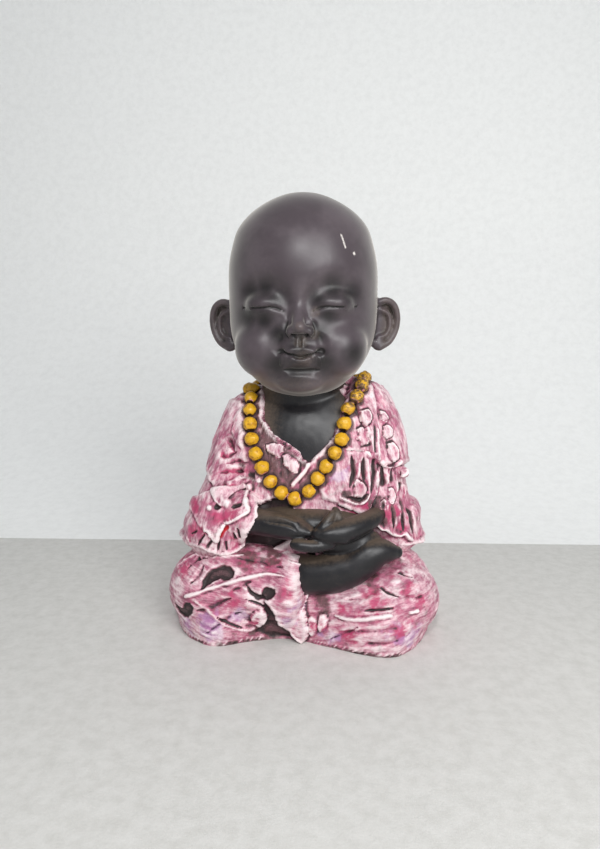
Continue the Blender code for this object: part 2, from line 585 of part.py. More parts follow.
def model_robe():
    clay = bmesh.new()
    robe_clay(clay)
    robe = Carving(clay, MERGE_VOXEL, rounds=4)
    robe.soften(4, np.ones(len(robe.points)))
    layers = [
        (NECK_OPENING, -CHEST_SUNK, 1.4),
        (INNER_HEM + [(-26, 40), (-14, 40), (-4, 46), (-4, 64)], -3.0, 1.2),
        (INNER_HEM + FAN_HEM + [(-56, 52), (-52, 60), (-40, 67), (-27, 74), (-16, 72)], 1.4, 1.2),
        (RIBBON + [(-52, 60), (-42, 66), (-32, 70)], 1.6, 1.0),
        (SLEEVE_BULGE, 1.8, 2.0),
        (FLAP, 1.5, 1.0),
        (ROBE_FRONT, 1.4, 1.2),
    ]
    for outline, height, edge in layers:
        robe.panel(outline, height, edge)
    robe.panel(SHAWL, 2.2, 1.4, turned=True)
    robe.refresh()
    robe.panel(LEAF_FOLD, 1.1, 1.0)
    for petal in PETALS:
        robe.panel(petal, 1.6, 0.9)
    robe.refresh()
    ridges = [
        (RIGHT_LAPEL, 1.5, 1.5), (LEFT_LAPEL, 1.4, 1.1), (ELBOW_FOLD, 1.8, 1.2), (RIBBON, 1.5, 1.9),
        (INNER_HEM, 1.4, 1.6), (FAN_HEM, 1.5, 1.4), (FLAP_HEM, 1.6, 1.4), (CAPE_HEM, 1.5, 1.6),
        (ROBE_FRONT_HEM, 1.5, 1.7), (SECOND_HEM, 1.3, 1.2), (LEFT_SLEEVE_HEM, 1.7, 1.8),
        ([(3.8, 80.4), (1.2, 76.1), (-4.2, 70.0)], 1.4, 1.8),
        ([(33.6, 106), (34.3, 92), (35.0, 82)], 1.2, 0.9),
    ]
    for path, width, height in ridges:
        robe.stroke(robe.front(path), width, height, flat=0.25, taper=0.1)
    for path in FAN_PLEATS:
        robe.stroke(robe.front(path), 1.2, -2.0)
    for path in SLEEVE_CREASES:
        robe.stroke(robe.front(path), 1.8, -1.3)
    for path in ROBE_FOLDS:
        robe.stroke(robe.front(path), 1.6, -1.8)
    robe.stroke(robe.front([(-38.5, 61.6), (-35.5, 61.2)]), 1.9, -1.9)
    robe.stroke(robe.front([(-30.0, 62.0), (-25.6, 63.6)]), 2.0, -1.4)
    for x, z in ((-32.1, 63.0), (-40.2, 60.9), (-23.6, 69.0)):
        robe.dab(x, z, 1.6, 1.8)
    for path in BACK_FOLDS:
        robe.stroke(robe.around(path), 2.8, -1.5)
    for path in SHAWL_FOLDS:
        robe.stroke(robe.around(path), 3.4, -1.7)
    back_edges = [(SHAWL_HEM, 1.6, 1.3), (SHAWL_TOP, 1.6, 1.1), (COLLAR, 1.8, 1.2), (BACK_HEM, 1.8, 1.5)]
    for path, width, height in back_edges:
        robe.stroke(robe.around(path), width, height, flat=0.2, taper=0.05)
    robe.refresh()
    return robe


# The trousers

BASE_OUTLINE = [
    (-57.7, -21.8), (-51.3, -32.3), (-41.7, -39.3), (-34.6, -40.0), (-25.0, -35.7), (-15.0, -32.5),
    (-6.8, -31.2), (1.6, -33.0), (6.7, -34.9), (17.1, -38.7), (29.1, -43.5), (40.9, -45.0), (49.6, -38.1),
    (57.7, -22.3),
    (59.5, -8), (56, 12), (46, 27), (28, 36), (0, 40), (-28, 36), (-46, 27), (-56, 12), (-59.5, -8),
]
BASE_ROWS = [(-4, -1.6), (0, -0.5), (3, 0.5), (7, 1.2), (11, 0.8), (16, -1.5), (21, -6)]  # z, push outwards
RIGHT_VEIN = [
    (-60, 18.4), (-57.0, 19.3), (-44.7, 23.8), (-33.5, 28.0), (-24.1, 30.8), (-13.7, 32.9), (-5.0, 33.0),
]
HOOKS = [  # outlines of the hooks that are cut in
    [
        (-43.4, 25.3), (-43.3, 28.3), (-41.6, 31.4), (-39.6, 33.3), (-37.2, 34.3), (-33.9, 35.3),
        (-31.0, 34.9), (-29.0, 33.3), (-29.0, 31.1), (-31.0, 29.9), (-33.5, 29.6), (-35.2, 30.5),
        (-36.6, 29.9), (-38.8, 28.6), (-40.8, 26.8),
    ],
    [
        (-23.2, 28.3), (-21.9, 27.5), (-19.8, 25.2), (-17.6, 24.2), (-16.4, 24.9), (-15.8, 27.0),
        (-14.4, 28.3), (-12.3, 28.2), (-10.4, 27.7), (-10.1, 25.9), (-11.7, 23.9), (-14.5, 22.5),
        (-18.1, 21.5), (-20.7, 23.7), (-22.3, 25.9),
    ],
    [
        (-57.5, 16.9), (-56.3, 15.4), (-53.9, 14.5), (-53.1, 14.3), (-52.7, 16.3), (-51.2, 18.2),
        (-49.1, 18.7), (-47.5, 17.2), (-48.2, 13.7), (-50.6, 10.5), (-53.2, 9.6), (-55.9, 10.1),
        (-57.3, 12.8),
    ],
]
TROUSER_SLITS = [
    [(-23.0, 21.9), (-18.1, 19.8), (-14.0, 17.8)], [(-36.3, 13.8), (-30.8, 10.2), (-24.9, 7.0)],
    [(28.9, 19.6), (35.4, 20.6), (41.1, 20.6)], [(34.3, 29.0), (39.1, 26.4), (44.3, 24.4)],
    [(42.4, 33.4), (46.7, 31.4), (50.4, 30.4)], [(-52, 31), (-48.5, 35), (-42.5, 36.4)],
]
LEFT_VEIN = [(15.5, 15.6), (20.9, 14.9), (26.9, 15.8), (34.7, 17.6), (46.9, 18.6), (58, 19)]
TROUSER_CREASES = [
    [(-46, 15), (-38, 18), (-30, 22)], [(-41, 6), (-34, 11), (-26, 15)],
    [(-49, 27), (-46, 30), (-44, 34)], [(-28, 38), (-18, 37.4), (-7, 36)],
    [(-30, 25), (-26, 27), (-21, 30)], [(20, 22), (30, 25), (38, 31.5)], [(47, 25), (53, 24), (58, 25)],
    [(16, 10), (30, 11), (42, 13.5), (54, 15)], [(22, 5), (38, 6.5), (50, 9.5)],
    [(14, 4), (20, 8), (26, 12.5)], [(28, 34), (34, 37), (40, 39)],
]
CUFF = [  # the pointed end of the wrapped cloth, over the shins
    (-15.2, 22.4), (-11.4, 18.7), (-8.5, 11.6), (-3.4, 4.4), (1.4, 0.6), (3.6, 2.2), (4.2, 8.0),
    (2.1, 15.8), (2.6, 19.4), (3.7, 25.6), (2.8, 31.6), (0.4, 36.5), (-6, 40), (-14, 38), (-22, 34),
    (-20, 28),
]
CUFF_EDGE = [
    (-6, 38.6), (0.2, 36.0), (2.6, 31.6), (3.5, 25.6), (2.4, 19.4), (1.9, 15.8), (4.0, 8.0), (3.2, 1.8),
]
CUFF_POINT = [(3.2, 1.8), (1.2, 0.8), (-3.4, 4.6), (-8.5, 11.8), (-12.6, 19.6)]
UNDER_CUFF = [
    (-14.8, 21.0), (-8.9, 10.6), (-3.6, 3.4), (1.4, 0.0), (-12.6, 0.1), (-19.5, 4.6), (-15.5, 9.0),
    (-15.8, 15.5),
]
LOBE_EDGE = [
    (-45.8, 20.0), (-38.3, 14.9), (-30.6, 9.4), (-24.0, 6.4), (-19.8, 7.2), (-15.2, 12.5), (-16.5, 17.0),
]
CENTRE_PETALS = [
    [(4.5, 11.8), (6.1, 13.4), (8.2, 11.6), (8.0, 7.5), (6.3, 4.3), (4.7, 6.0)],
    [(9.5, 14.4), (11.7, 15.2), (13.0, 13.1), (12.2, 9.8), (9.7, 6.9), (8.6, 9.4)],
    [(-21.4, 9.0), (-21.4, 13.0), (-18.9, 16.5), (-15.5, 16.6), (-13.9, 13.9), (-17.5, 9.4)],
]


def trouser_clay(clay):
    """The seat, both thighs, knees and crossed shins, and the foot they rest on."""
    add_ball(clay, (0, 14, 21), (50, 25, 21))
    add_ball(clay, (0, -6, 24), (34, 22, 16))
    for side in (RIGHT, LEFT):
        thigh = [(side * 20, 12, 24, 19, 18), (side * 34, 2, 22, 20, 19), (side * 43, -8, 19, 19, 18)]
        add_limb(clay, thigh, sides=28)
    add_ball(clay, (-42.5, -15.5, 18.5), (20.6, 23.0, 19.0))
    add_ball(clay, (43.5, -17.5, 16.5), (20.6, 22.6, 17.5))
    shin = [
        (-46, -19, 20, 16, 16), (-34, -21, 22, 17, 18), (-19, -21.5, 22.5, 17.5, 19),
        (-3.5, -23.5, 22, 16, 17.5),
    ]
    add_limb(clay, shin, sides=28, bluntness=0.3)
    other = [
        (46, -22, 16, 16, 15), (34, -25.5, 15.5, 17, 15), (20, -24.5, 13.5, 14, 13), (6, -21, 12, 12, 12),
    ]
    add_limb(clay, other, sides=28)
    add_skirt(clay, BASE_OUTLINE, BASE_ROWS)


def model_trousers():
    clay = bmesh.new()
    trouser_clay(clay)
    legs = Carving(clay, MERGE_VOXEL, rounds=4)
    legs.soften(7, np.ones(len(legs.points)))
    legs.panel(UNDER_CUFF, -1.6, 1.6)
    legs.panel(CUFF, 2.8, 0.9, fade=(-20, 30, -8, 22))
    legs.refresh()
    for petal in CENTRE_PETALS:
        legs.panel(petal, 1.8, 1.0)
    legs.refresh()
    crests = [
        (RIGHT_VEIN, 1.6, 1.8), (LEFT_VEIN, 1.6, 1.8), (CUFF_EDGE, 1.3, 1.1), (CUFF_POINT, 1.2, 0.8),
        (LOBE_EDGE, 1.7, 1.0),
    ]
    for path, width, height in crests:
        legs.stroke(legs.front(path), width, height, flat=0.2, taper=0.12)
    for outline in HOOKS:
        legs.panel(outline, -1.8, 0.9)
    for path in TROUSER_SLITS:
        legs.stroke(legs.front(path), 1.5, -2.2, taper=0.4)
    for path in TROUSER_CREASES:
        legs.stroke(legs.front(path), 2.1, -1.4, taper=0.4)
    for turn in (112, 128, 146, 165, 195, 214, 232, 248):
        fold = [(turn, 34), (turn + (turn - 180) * 0.06, 20), (turn, 6)]
        legs.stroke(legs.around(fold, axis=(0, 2)), 2.4, -1.1)
    legs.refresh()
    return legs


# Bare skin below the head

NECK_SECTIONS = [(104, 0, 22, -14, 16), (110, 0, 20, -14, 15), (116, 0, 19, -16, 14), (122, 0, 17, -14, 12)]
RIGHT_FOOT = [  # x, y, z, half width, half height
    (-4, -24, 29, 9.0, 9.6), (3, -27, 30, 9, 9.2), (8, -28, 30.4, 9, 9.2), (15, -29, 31.6, 8.6, 9.2),
    (23, -29.5, 34.4, 8, 8.4), (28, -29.3, 37.8, 7.4, 8.0), (32, -28.8, 40.4, 6.8, 7.6),
    (36, -28, 41.6, 6.0, 6.2), (40, -27, 41.3, 4.8, 4.6), (43, -26, 40.8, 3.2, 3.0),
]
RIGHT_HAND = [
    (-31, -18, 53, 7, 6.6), (-22, -25, 53.8, 6.4, 6.0), (-14, -28.8, 53.8, 6.2, 5.8),
    (-6, -31, 52.9, 6.0, 5.4), (0, -32.5, 52.4, 5.2, 4.2), (4.5, -33, 51.6, 3.6, 2.4),
]
LEFT_HAND = [
    (40, -10, 56.0, 4.4, 3.8), (35, -19, 56.2, 4.2, 3.6), (31, -25, 55.2, 4.8, 4.2),
    (25, -30, 53.6, 5.4, 5.0), (18.5, -33.5, 52.2, 5.6, 5.4), (12.5, -35.4, 51.6, 4.8, 4.4),
    (8.4, -36.0, 51.9, 3.4, 2.8),
]
FINGERS = [  # each from the knuckle to the tip: x, y, z, half width, half height
    [
        (14, -36.0, 47.4, 2.6, 2.6), (7, -38.0, 46.8, 2.7, 2.7), (0.8, -38.2, 47.2, 2.7, 2.7),
        (-1.8, -37.8, 47.4, 2.3, 2.2),
    ],
    [(9.4, -35.6, 53.8, 2.5, 2.2), (12.2, -34.4, 57.2, 2.3, 2.1), (14.2, -32.6, 59.8, 1.9, 1.8)],
    [(17.5, -33.0, 56.6, 2.2, 2.0), (17.0, -31.6, 59.4, 2.0, 1.8), (15.6, -30.2, 61.2, 1.7, 1.6)],
    [(-16, -31.0, 57.2, 2.4, 1.9), (-8, -33.2, 57.4, 2.2, 1.8), (-1.4, -34.6, 55.6, 2.1, 1.8)],
    [(8.8, -34.4, 51.2, 2.0, 1.8), (13.0, -37.6, 50.6, 2.2, 2.0), (20.0, -36.4, 49.8, 2.2, 2.2)],
]


def inset_sections(sections, inset, low, high):
    """The part of a stack of sections between two heights, drawn in all round."""
    kept = [row for row in smooth_rows(sections) if low <= row[0] <= high]
    drawn_in = (0, 0, -inset, inset, -inset)
    return [tuple(row + drawn_in) for row in kept[::3]]


def model_skin():
    clay = bmesh.new()
    add_loft(clay, inset_sections(ROBE_SECTIONS, CHEST_SUNK - 0.9, 70, 116), power=2.3)
    add_loft(clay, NECK_SECTIONS)
    for stations in [RIGHT_FOOT, RIGHT_HAND, LEFT_HAND] + FINGERS:
        add_limb(clay, stations)
    add_ball(clay, (2, -21, 53), (27, 11, 7.4))
    add_ball(clay, (20, -25, 45.5), (17, 8, 7))
    skin = Carving(clay, MERGE_VOXEL, rounds=5)
    skin.soften(2, np.ones(len(skin.points)))
    return skin


# The necklace

NECKLACE = [  # x, z laid on the front
    (-23.6, 110.0), (-23.7, 104.6), (-23.1, 98.9), (-22.2, 92.0), (-20.6, 85.6), (-17.8, 79.5),
    (-14.2, 73.6), (-9.4, 68.4), (-2.9, 64.8), (4.3, 69.0), (8.7, 75.0), (12.9, 80.6), (16.1, 86.6),
    (18.2, 93.0), (19.6, 98.8), (21.5, 104.2), (24.0, 108.4), (26.0, 112.6),
]
NAPE = [  # x, y
    (27.5, -3), (28.5, 5), (26.5, 14), (18, 22), (3, 25.5), (-12, 22.5), (-22, 14), (-26, 5), (-26, -3),
]


def bead_places(body):
    """Evenly spaced places on the body: down the front, and back round the nape."""
    front = body.front(NECKLACE)
    nape = np.array([body.hit((x, y, 200), (0, 0, -1)) for x, y in smooth_rows(NAPE, 4)])
    path = np.vstack([front, nape, front[:1]])
    run = np.concatenate([[0], np.cumsum(np.linalg.norm(np.diff(path, axis=0), axis=1))])
    pitch = (BEAD_DIAMETER + BEAD_GAP) / UNIT
    count = round(run[-1] / pitch)
    marks = np.arange(count) * run[-1] / count
    return np.stack([np.interp(marks, run, path[:, k]) for k in range(3)], axis=1)


def model_beads(body):
    clay = bmesh.new()
    radius = BEAD_DIAMETER / UNIT / 2
    for place in bead_places(body):
        spot, normal, _, _ = body.tree.find_nearest(Vector(place))
        add_ball(clay, spot + normal * radius * (1 - 2 * BEAD_SUNK), (radius, radius, radius))
    beads = Carving(clay, MERGE_VOXEL, rounds=2)
    return beads


def together(*carvings):
    """Clay of several carved meshes at once."""
    clay = bmesh.new()
    for carving in carvings:
        made = [clay.verts.new(p) for p in carving.points]
        for face in carving.faces:
            clay.faces.new([made[i] for i in face])
    return clay


def model_all():
    """Every clay of the figure, each carved: head, robe, trousers, bare skin and beads."""
    head, robe, legs, skin = model_head(), model_robe(), model_trousers(), model_skin()
    body = Carving(together(robe, skin), MERGE_VOXEL * 1.6, rounds=0)
    return [head, robe, legs, skin, model_beads(body)]


# The casting

def outer_shell(clay):
    """Leaves only the largest connected skin, so hollows inside the casting are filled."""
    clay.verts.ensure_lookup_table()
    unseen = set(clay.verts)
    shells = []
    while unseen:
        todo = [unseen.pop()]
        shell = list(todo)
        while todo:
            for edge in todo.pop().link_edges:
                for v in edge.verts:
                    if v in unseen:
                        unseen.remove(v)
                        todo.append(v)
                        shell.append(v)
        shells.append(shell)
    shells.sort(key=len)
    for shell in shells[:-1]:
        bmesh.ops.delete(clay, geom=shell, context="VERTS")


def detail_share(place):
    """How freely facets may be merged there, from 0 (the face) to 1 (the back)."""
    if place.y < -24 and 118 < place.z < 160 and abs(place.x) < 27:
        return 0.35
    return 0.75 if place.y < 0 and place.z < 112 else 1.0


def thinned(clay, triangles):
    """The same skin, its flatter facets merged down to a number of triangles. It empties the bmesh."""
    bmesh.ops.triangulate(clay, faces=clay.faces)
    share = triangles / len(clay.faces)
    weights = clay.verts.layers.deform.verify()
    for v in clay.verts:
        v[weights][0] = detail_share(v.co)
    mesh = bpy.data.meshes.new("skin")
    clay.to_mesh(mesh)
    clay.free()
    obj = bpy.data.objects.new("skin", mesh)
    bpy.context.scene.collection.objects.link(obj)
    thin = obj.modifiers.new("thin", "DECIMATE")
    thin.ratio = share
    thin.vertex_group = obj.vertex_groups.new(name="merging").name
    thin.vertex_group_factor = DETAIL_KEPT
    graph = bpy.context.evaluated_depsgraph_get()
    out = bmesh.new()
    out.from_object(obj, graph)
    bpy.data.objects.remove(obj)
    bpy.data.meshes.remove(mesh)
    return out


def flat_base(clay):
    """Cuts the foot of the casting level at z = 0 and closes it."""
    geom = clay.verts[:] + clay.edges[:] + clay.faces[:]
    level = {"plane_co": (0, 0, 0), "plane_no": (0, 0, 1)}
    cut = bmesh.ops.bisect_plane(clay, geom=geom, dist=1e-4, clear_inner=True, **level)
    rim = [e for e in cut["geom_cut"] if isinstance(e, bmesh.types.BMEdge) and e.is_boundary]
    bmesh.ops.edgeloop_fill(clay, edges=rim)
    bmesh.ops.triangulate(clay, faces=clay.faces)
    bmesh.ops.recalc_face_normals(clay, faces=clay.faces)


def cast(carvings):
    """All the clays as one solid, in metres, standing on z = 0 about the middle of its own bounds."""
    mesh = merged_mesh(together(*carvings), CAST_VOXEL / UNIT)
    clay = bmesh.new()
    clay.from_mesh(mesh)
    bpy.data.meshes.remove(mesh)
    outer_shell(clay)
    clay = thinned(clay, CAST_TRIANGLES)
    flat_base(clay)
    low = [min(v.co[k] for v in clay.verts) for k in range(3)]
    high = [max(v.co[k] for v in clay.verts) for k in range(3)]
    middle = Vector(((low[0] + high[0]) / 2, (low[1] + high[1]) / 2, low[2]))
    scale = HEIGHT / (high[2] - low[2])
    for v in clay.verts:
        v.co = (v.co - middle) * scale
    return clay


def painted_resin():
    material = bpy.data.materials.new("painted_resin")
    material.use_nodes = True
    shader = material.node_tree.nodes["Principled BSDF"]
    shader.inputs["Base Color"].default_value = (0.46, 0.17, 0.25, 1)
    shader.inputs["Roughness"].default_value = 0.5
    shader.inputs["Metallic"].default_value = 0.0
    return material


def main():
    for obj in list(bpy.data.objects):
        bpy.data.objects.remove(obj, do_unlink=True)
    clay = cast(model_all())
    mesh = bpy.data.meshes.new("baby_monk")
    clay.to_mesh(mesh)
    clay.free()
    mesh.materials.append(painted_resin())
    bpy.context.scene.collection.objects.link(bpy.data.objects.new("baby_monk", mesh))


main()
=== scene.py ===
import logging
import math
from dataclasses import dataclass, field
from enum import Enum
from typing import Optional, Sequence

import bmesh
import bpy
import numpy as np
from mathutils import Euler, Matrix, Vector
from mathutils.bvhtree import BVHTree


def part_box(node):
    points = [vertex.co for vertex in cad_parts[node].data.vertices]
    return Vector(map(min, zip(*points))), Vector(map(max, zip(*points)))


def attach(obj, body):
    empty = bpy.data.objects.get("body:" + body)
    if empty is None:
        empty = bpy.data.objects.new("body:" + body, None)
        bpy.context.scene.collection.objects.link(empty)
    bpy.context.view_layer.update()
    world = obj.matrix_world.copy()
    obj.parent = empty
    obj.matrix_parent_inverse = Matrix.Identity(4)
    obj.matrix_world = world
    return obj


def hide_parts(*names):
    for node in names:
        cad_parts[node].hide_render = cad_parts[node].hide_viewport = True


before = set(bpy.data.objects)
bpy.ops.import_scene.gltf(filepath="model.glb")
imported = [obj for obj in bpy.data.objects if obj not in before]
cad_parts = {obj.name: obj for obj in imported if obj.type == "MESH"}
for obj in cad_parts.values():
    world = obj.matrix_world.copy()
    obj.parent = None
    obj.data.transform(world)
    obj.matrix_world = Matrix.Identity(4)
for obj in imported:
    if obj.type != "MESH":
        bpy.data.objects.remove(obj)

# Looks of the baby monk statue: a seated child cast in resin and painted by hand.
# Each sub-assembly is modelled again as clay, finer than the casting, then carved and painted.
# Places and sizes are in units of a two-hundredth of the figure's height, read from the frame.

log = logging.getLogger("baby_monk")

Row = Sequence[float]
Path = Sequence[Row]

NODE = "baby_monk"
BODY = "root"
FIGURE_LOW, FIGURE_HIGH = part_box(NODE)
ARC = 0.73  # units of cloth per degree round the body
AFAR = 200  # units from the axis, outside the figure, where rays start
BACKWARDS = (0, 1, 0)
SHRINK, SWELL = 0.6, 0.62  # shares of a smoothing step, back and forth, that keep a form's size
RELIEF = 0.30  # height over reach at which a ridge or hollow counts in full
STEP = 1.6  # units between layers of cloth; a ray that lands so much deeper has missed the upper one
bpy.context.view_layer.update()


class Side(Enum):
    """The figure's own right and left: its right one is at -X."""

    RIGHT = -1
    LEFT = 1


class Paint(Enum):
    """What a brush leaves on a carved piece, painted shade among it; each is kept as an attribute of its
    mesh.
    """

    WHITE = "white"
    # dark paint, used also as painted shade in creases and hollows, under overhangs and round the beads
    DARK = "dark"
    PINK = "pink"
    RED = "red"
    VIOLET = "violet"
    DUST = "dust"
    CHIP = "chip"
    RAISED = "raised"
    # hollows, which the materials darken as painted shade and, on the cloth, as its dark wash
    SUNK = "sunk"


LAID_ON = (Paint.WHITE, Paint.DARK, Paint.PINK, Paint.RED, Paint.VIOLET)  # each covers the others
BRUSHED = "brushed"  # the attribute with a point's place along and across the brush marks

# Curves, distances and noise


def smooth_rows(rows: Path, per_span: int = 6) -> np.ndarray:
    """Reads rows of numbers off a Catmull-Rom curve.

    Args:
        rows: the rows that the curve goes through.
        per_span: how many rows come out for each span between two rows.

    Returns:
        The rows along the curve.
    """
    rows = np.asarray(rows, float)
    padded = np.vstack([2 * rows[0] - rows[1], rows, 2 * rows[-1] - rows[-2]])
    out = []
    for a, b, c, d in zip(padded, padded[1:], padded[2:], padded[3:]):
        for t in np.arange(per_span) / per_span:
            cubic = (3 * b - a - 3 * c + d) * t**3
            out.append(0.5 * (2 * b + (c - a) * t + (2 * a - 5 * b + 4 * c - d) * t**2 + cubic))
    out.append(rows[-1])
    return np.array(out)


def closest_on_path(points: np.ndarray, path: np.ndarray) -> tuple[np.ndarray, np.ndarray]:
    """Measures points against a polyline.

    Args:
        points: one point a row.
        path: the polyline's points, one a row.

    Returns:
        The distance of each point, and how far along the path (0 to 1) its closest place is.
    """
    a, b = path[:-1], path[1:]
    run = np.concatenate([[0], np.cumsum(np.linalg.norm(b - a, axis=1))])
    best = np.full(len(points), np.inf)
    along = np.zeros(len(points))
    for i, (p, q) in enumerate(zip(a, b)):
        d = q - p
        length2 = max(d @ d, 1e-12)
        t = np.clip((points - p) @ d / length2, 0, 1)
        gap = np.linalg.norm(points - p - t[:, None] * d, axis=1)
        closer = gap < best
        best[closer] = gap[closer]
        along[closer] = (run[i] + t[closer] * math.sqrt(length2)) / max(run[-1], 1e-9)
    return best, along


def inside_distance(flat: np.ndarray, outline: np.ndarray) -> np.ndarray:
    """Signed distance of 2-D points to a closed outline.

    Args:
        flat: the points, one a row.
        outline: the outline's corners, one a row.

    Returns:
        The distance of each point, positive inside.
    """
    closed = np.vstack([outline, outline[:1]])
    gap, _ = closest_on_path(flat, closed)
    x, z = flat[:, 0], flat[:, 1]
    inside = np.zeros(len(flat), bool)
    for (x0, z0), (x1, z1) in zip(closed[:-1], closed[1:]):
        crosses = (z0 > z) != (z1 > z)
        edge = x0 + (z - z0) * (x1 - x0) / ((z1 - z0) or 1e-12)
        inside ^= crosses & (x < edge)
    return np.where(inside, gap, -gap)


def ease(t: np.ndarray) -> np.ndarray:
    """A smooth step from 0 to 1."""
    t = np.clip(t, 0, 1)
    return t * t * (3 - 2 * t)


def lattice_noise(points: np.ndarray, size: float, seed: int = 0) -> np.ndarray:
    """Smooth value noise, the same on every run.

    Args:
        points: where to read it, one point a row.
        size: the width of its lumps, in the points' units.
        seed: picks another pattern.

    Returns:
        One value for each point, from -1 to 1.
    """
    p = points / size + seed * 17.3
    cell = np.floor(p).astype(np.int64)
    part = ease(p - cell)
    total = np.zeros(len(points))
    for corner in range(8):
        step = np.array([corner & 1, corner >> 1 & 1, corner >> 2 & 1])
        k = cell + step
        # large numbers without a common divisor scatter the lattice's corners
        mixed = (k[:, 0] * 73856093) ^ (k[:, 1] * 19349663) ^ (k[:, 2] * 83492791)
        value = (mixed * 2654435761 % 4294967296) / 2147483648 - 1
        total += value * np.prod(np.where(step, part, 1 - part), axis=1)
    return total


# Clay and carving


class Clay:
    """Closed shapes that are going to be merged into one skin, in units."""

    def __init__(self) -> None:
        """Starts with nothing."""
        self.bm = bmesh.new()

    def ball(self, centre: Row, radii: Row, turn: Row = (0, 0, 0)) -> None:
        """Adds an ellipsoid.

        Args:
            centre: its middle.
            radii: its three half sizes.
            turn: degrees about X, Y and Z.
        """
        made = bmesh.ops.create_icosphere(self.bm, subdivisions=4, radius=1.0)["verts"]
        rotation = Euler([math.radians(a) for a in turn]).to_matrix()
        for v in made:
            v.co = rotation @ Vector([c * r for c, r in zip(v.co, radii)]) + Vector(centre)

    def rings(self, rings: Sequence[Path]) -> None:
        """Adds a closed skin over rings of equally many points.

        Args:
            rings: the rings, from one end to the other.
        """
        rows = [[self.bm.verts.new(p) for p in ring] for ring in rings]
        count = len(rows[0])
        for low, high in zip(rows, rows[1:]):
            for i in range(count):
                j = (i + 1) % count
                self.bm.faces.new((low[i], low[j], high[j], high[i]))
        self.bm.faces.new(list(reversed(rows[0])))
        self.bm.faces.new(rows[-1])

    def limb(self, stations: Path, up: Row = (0, 0, 1), sides: int = 28, bluntness: float = 1.0) -> None:
        """Adds a round-ended limb.

        Args:
            stations: rows of x, y, z, half width and half height.
            up: the direction that half height is measured in.
            sides: points round each ring.
            bluntness: how round its ends are, from 0 (flat) to 1 (a dome).
        """
        rows = smooth_rows(stations)
        centres = rows[:, :3]
        tangents = np.gradient(centres, axis=0)
        tangents /= np.linalg.norm(tangents, axis=1)[:, None]
        angles = np.linspace(0, 2 * math.pi, sides, endpoint=False)
        cap = np.radians([8, 30, 52, 72])
        plan = [(0, -math.cos(a), math.sin(a)) for a in cap]
        plan += [(i, 0.0, 1.0) for i in range(len(rows))]
        plan += [(len(rows) - 1, math.cos(a), math.sin(a)) for a in cap[::-1]]
        rings = []
        for i, beyond, share in plan:
            t = tangents[i]
            side = np.cross(t, up)
            side /= np.linalg.norm(side)
            over = np.cross(side, t)
            wide, tall = rows[i, 3:5]
            centre = centres[i] + t * beyond * min(wide, tall) * bluntness
            ring = [
                centre + share * (side * wide * math.cos(a) + over * tall * math.sin(a))
                for a in angles
            ]
            rings.append(ring[::-1])
        self.rings(rings)

    def loft(self, sections: Path, power: float = 2.2, sides: int = 64) -> None:
        """Adds a body through level sections.

        Args:
            sections: rows of z, middle x, half width, front y and back y.
            power: 2 for ellipses, more for squarer sections.
            sides: points round each section.
        """
        angles = np.linspace(0, 2 * math.pi, sides, endpoint=False)
        rings = []
        for z, middle, half, front, back in smooth_rows(sections):
            centre, deep = (front + back) / 2, max((back - front) / 2, 0.2)
            ring = []
            for a in angles:
                c, s = math.cos(a), math.sin(a)
                x = middle + max(half, 0.2) * math.copysign(abs(c) ** (2 / power), c)
                ring.append((x, centre + deep * math.copysign(abs(s) ** (2 / power), s), z))
            rings.append(ring)
        self.rings(rings)

    def skirt(self, outline: Path, rows: Path) -> None:
        """Adds a body over one smooth level outline.

        Args:
            outline: its corners (x, y).
            rows: rows of z, and how far the outline is pushed out there.
        """
        edge = smooth_rows(list(outline) + [outline[0]])[:-1]
        away = edge - edge.mean(axis=0)
        away /= np.linalg.norm(away, axis=1)[:, None]
        self.rings([[(x, y, z) for x, y in edge + away * push] for z, push in rows])

    def carved(self, carving: "Carving") -> None:
        """Adds a mesh that has already been carved."""
        made = [self.bm.verts.new(p) for p in carving.points]
        for face in carving.faces:
            self.bm.faces.new([made[i] for i in face])

    def merged(self, voxel: float) -> bpy.types.Mesh:
        """Merges everything into one skin.

        Args:
            voxel: the grain of the skin, in units.

        Returns:
            A new mesh; the clay is used up.
        """
        bmesh.ops.recalc_face_normals(self.bm, faces=self.bm.faces)
        mesh = bpy.data.meshes.new("clay")
        self.bm.to_mesh(mesh)
        self.bm.free()
        obj = bpy.data.objects.new("clay", mesh)
        bpy.context.scene.collection.objects.link(obj)
        remesh = obj.modifiers.new("merge", "REMESH")
        remesh.mode = "VOXEL"
        remesh.voxel_size = voxel
        graph = bpy.context.evaluated_depsgraph_get()
        out = bpy.data.meshes.new_from_object(obj.evaluated_get(graph))
        bpy.data.objects.remove(obj)
        bpy.data.meshes.remove(mesh)
        return out


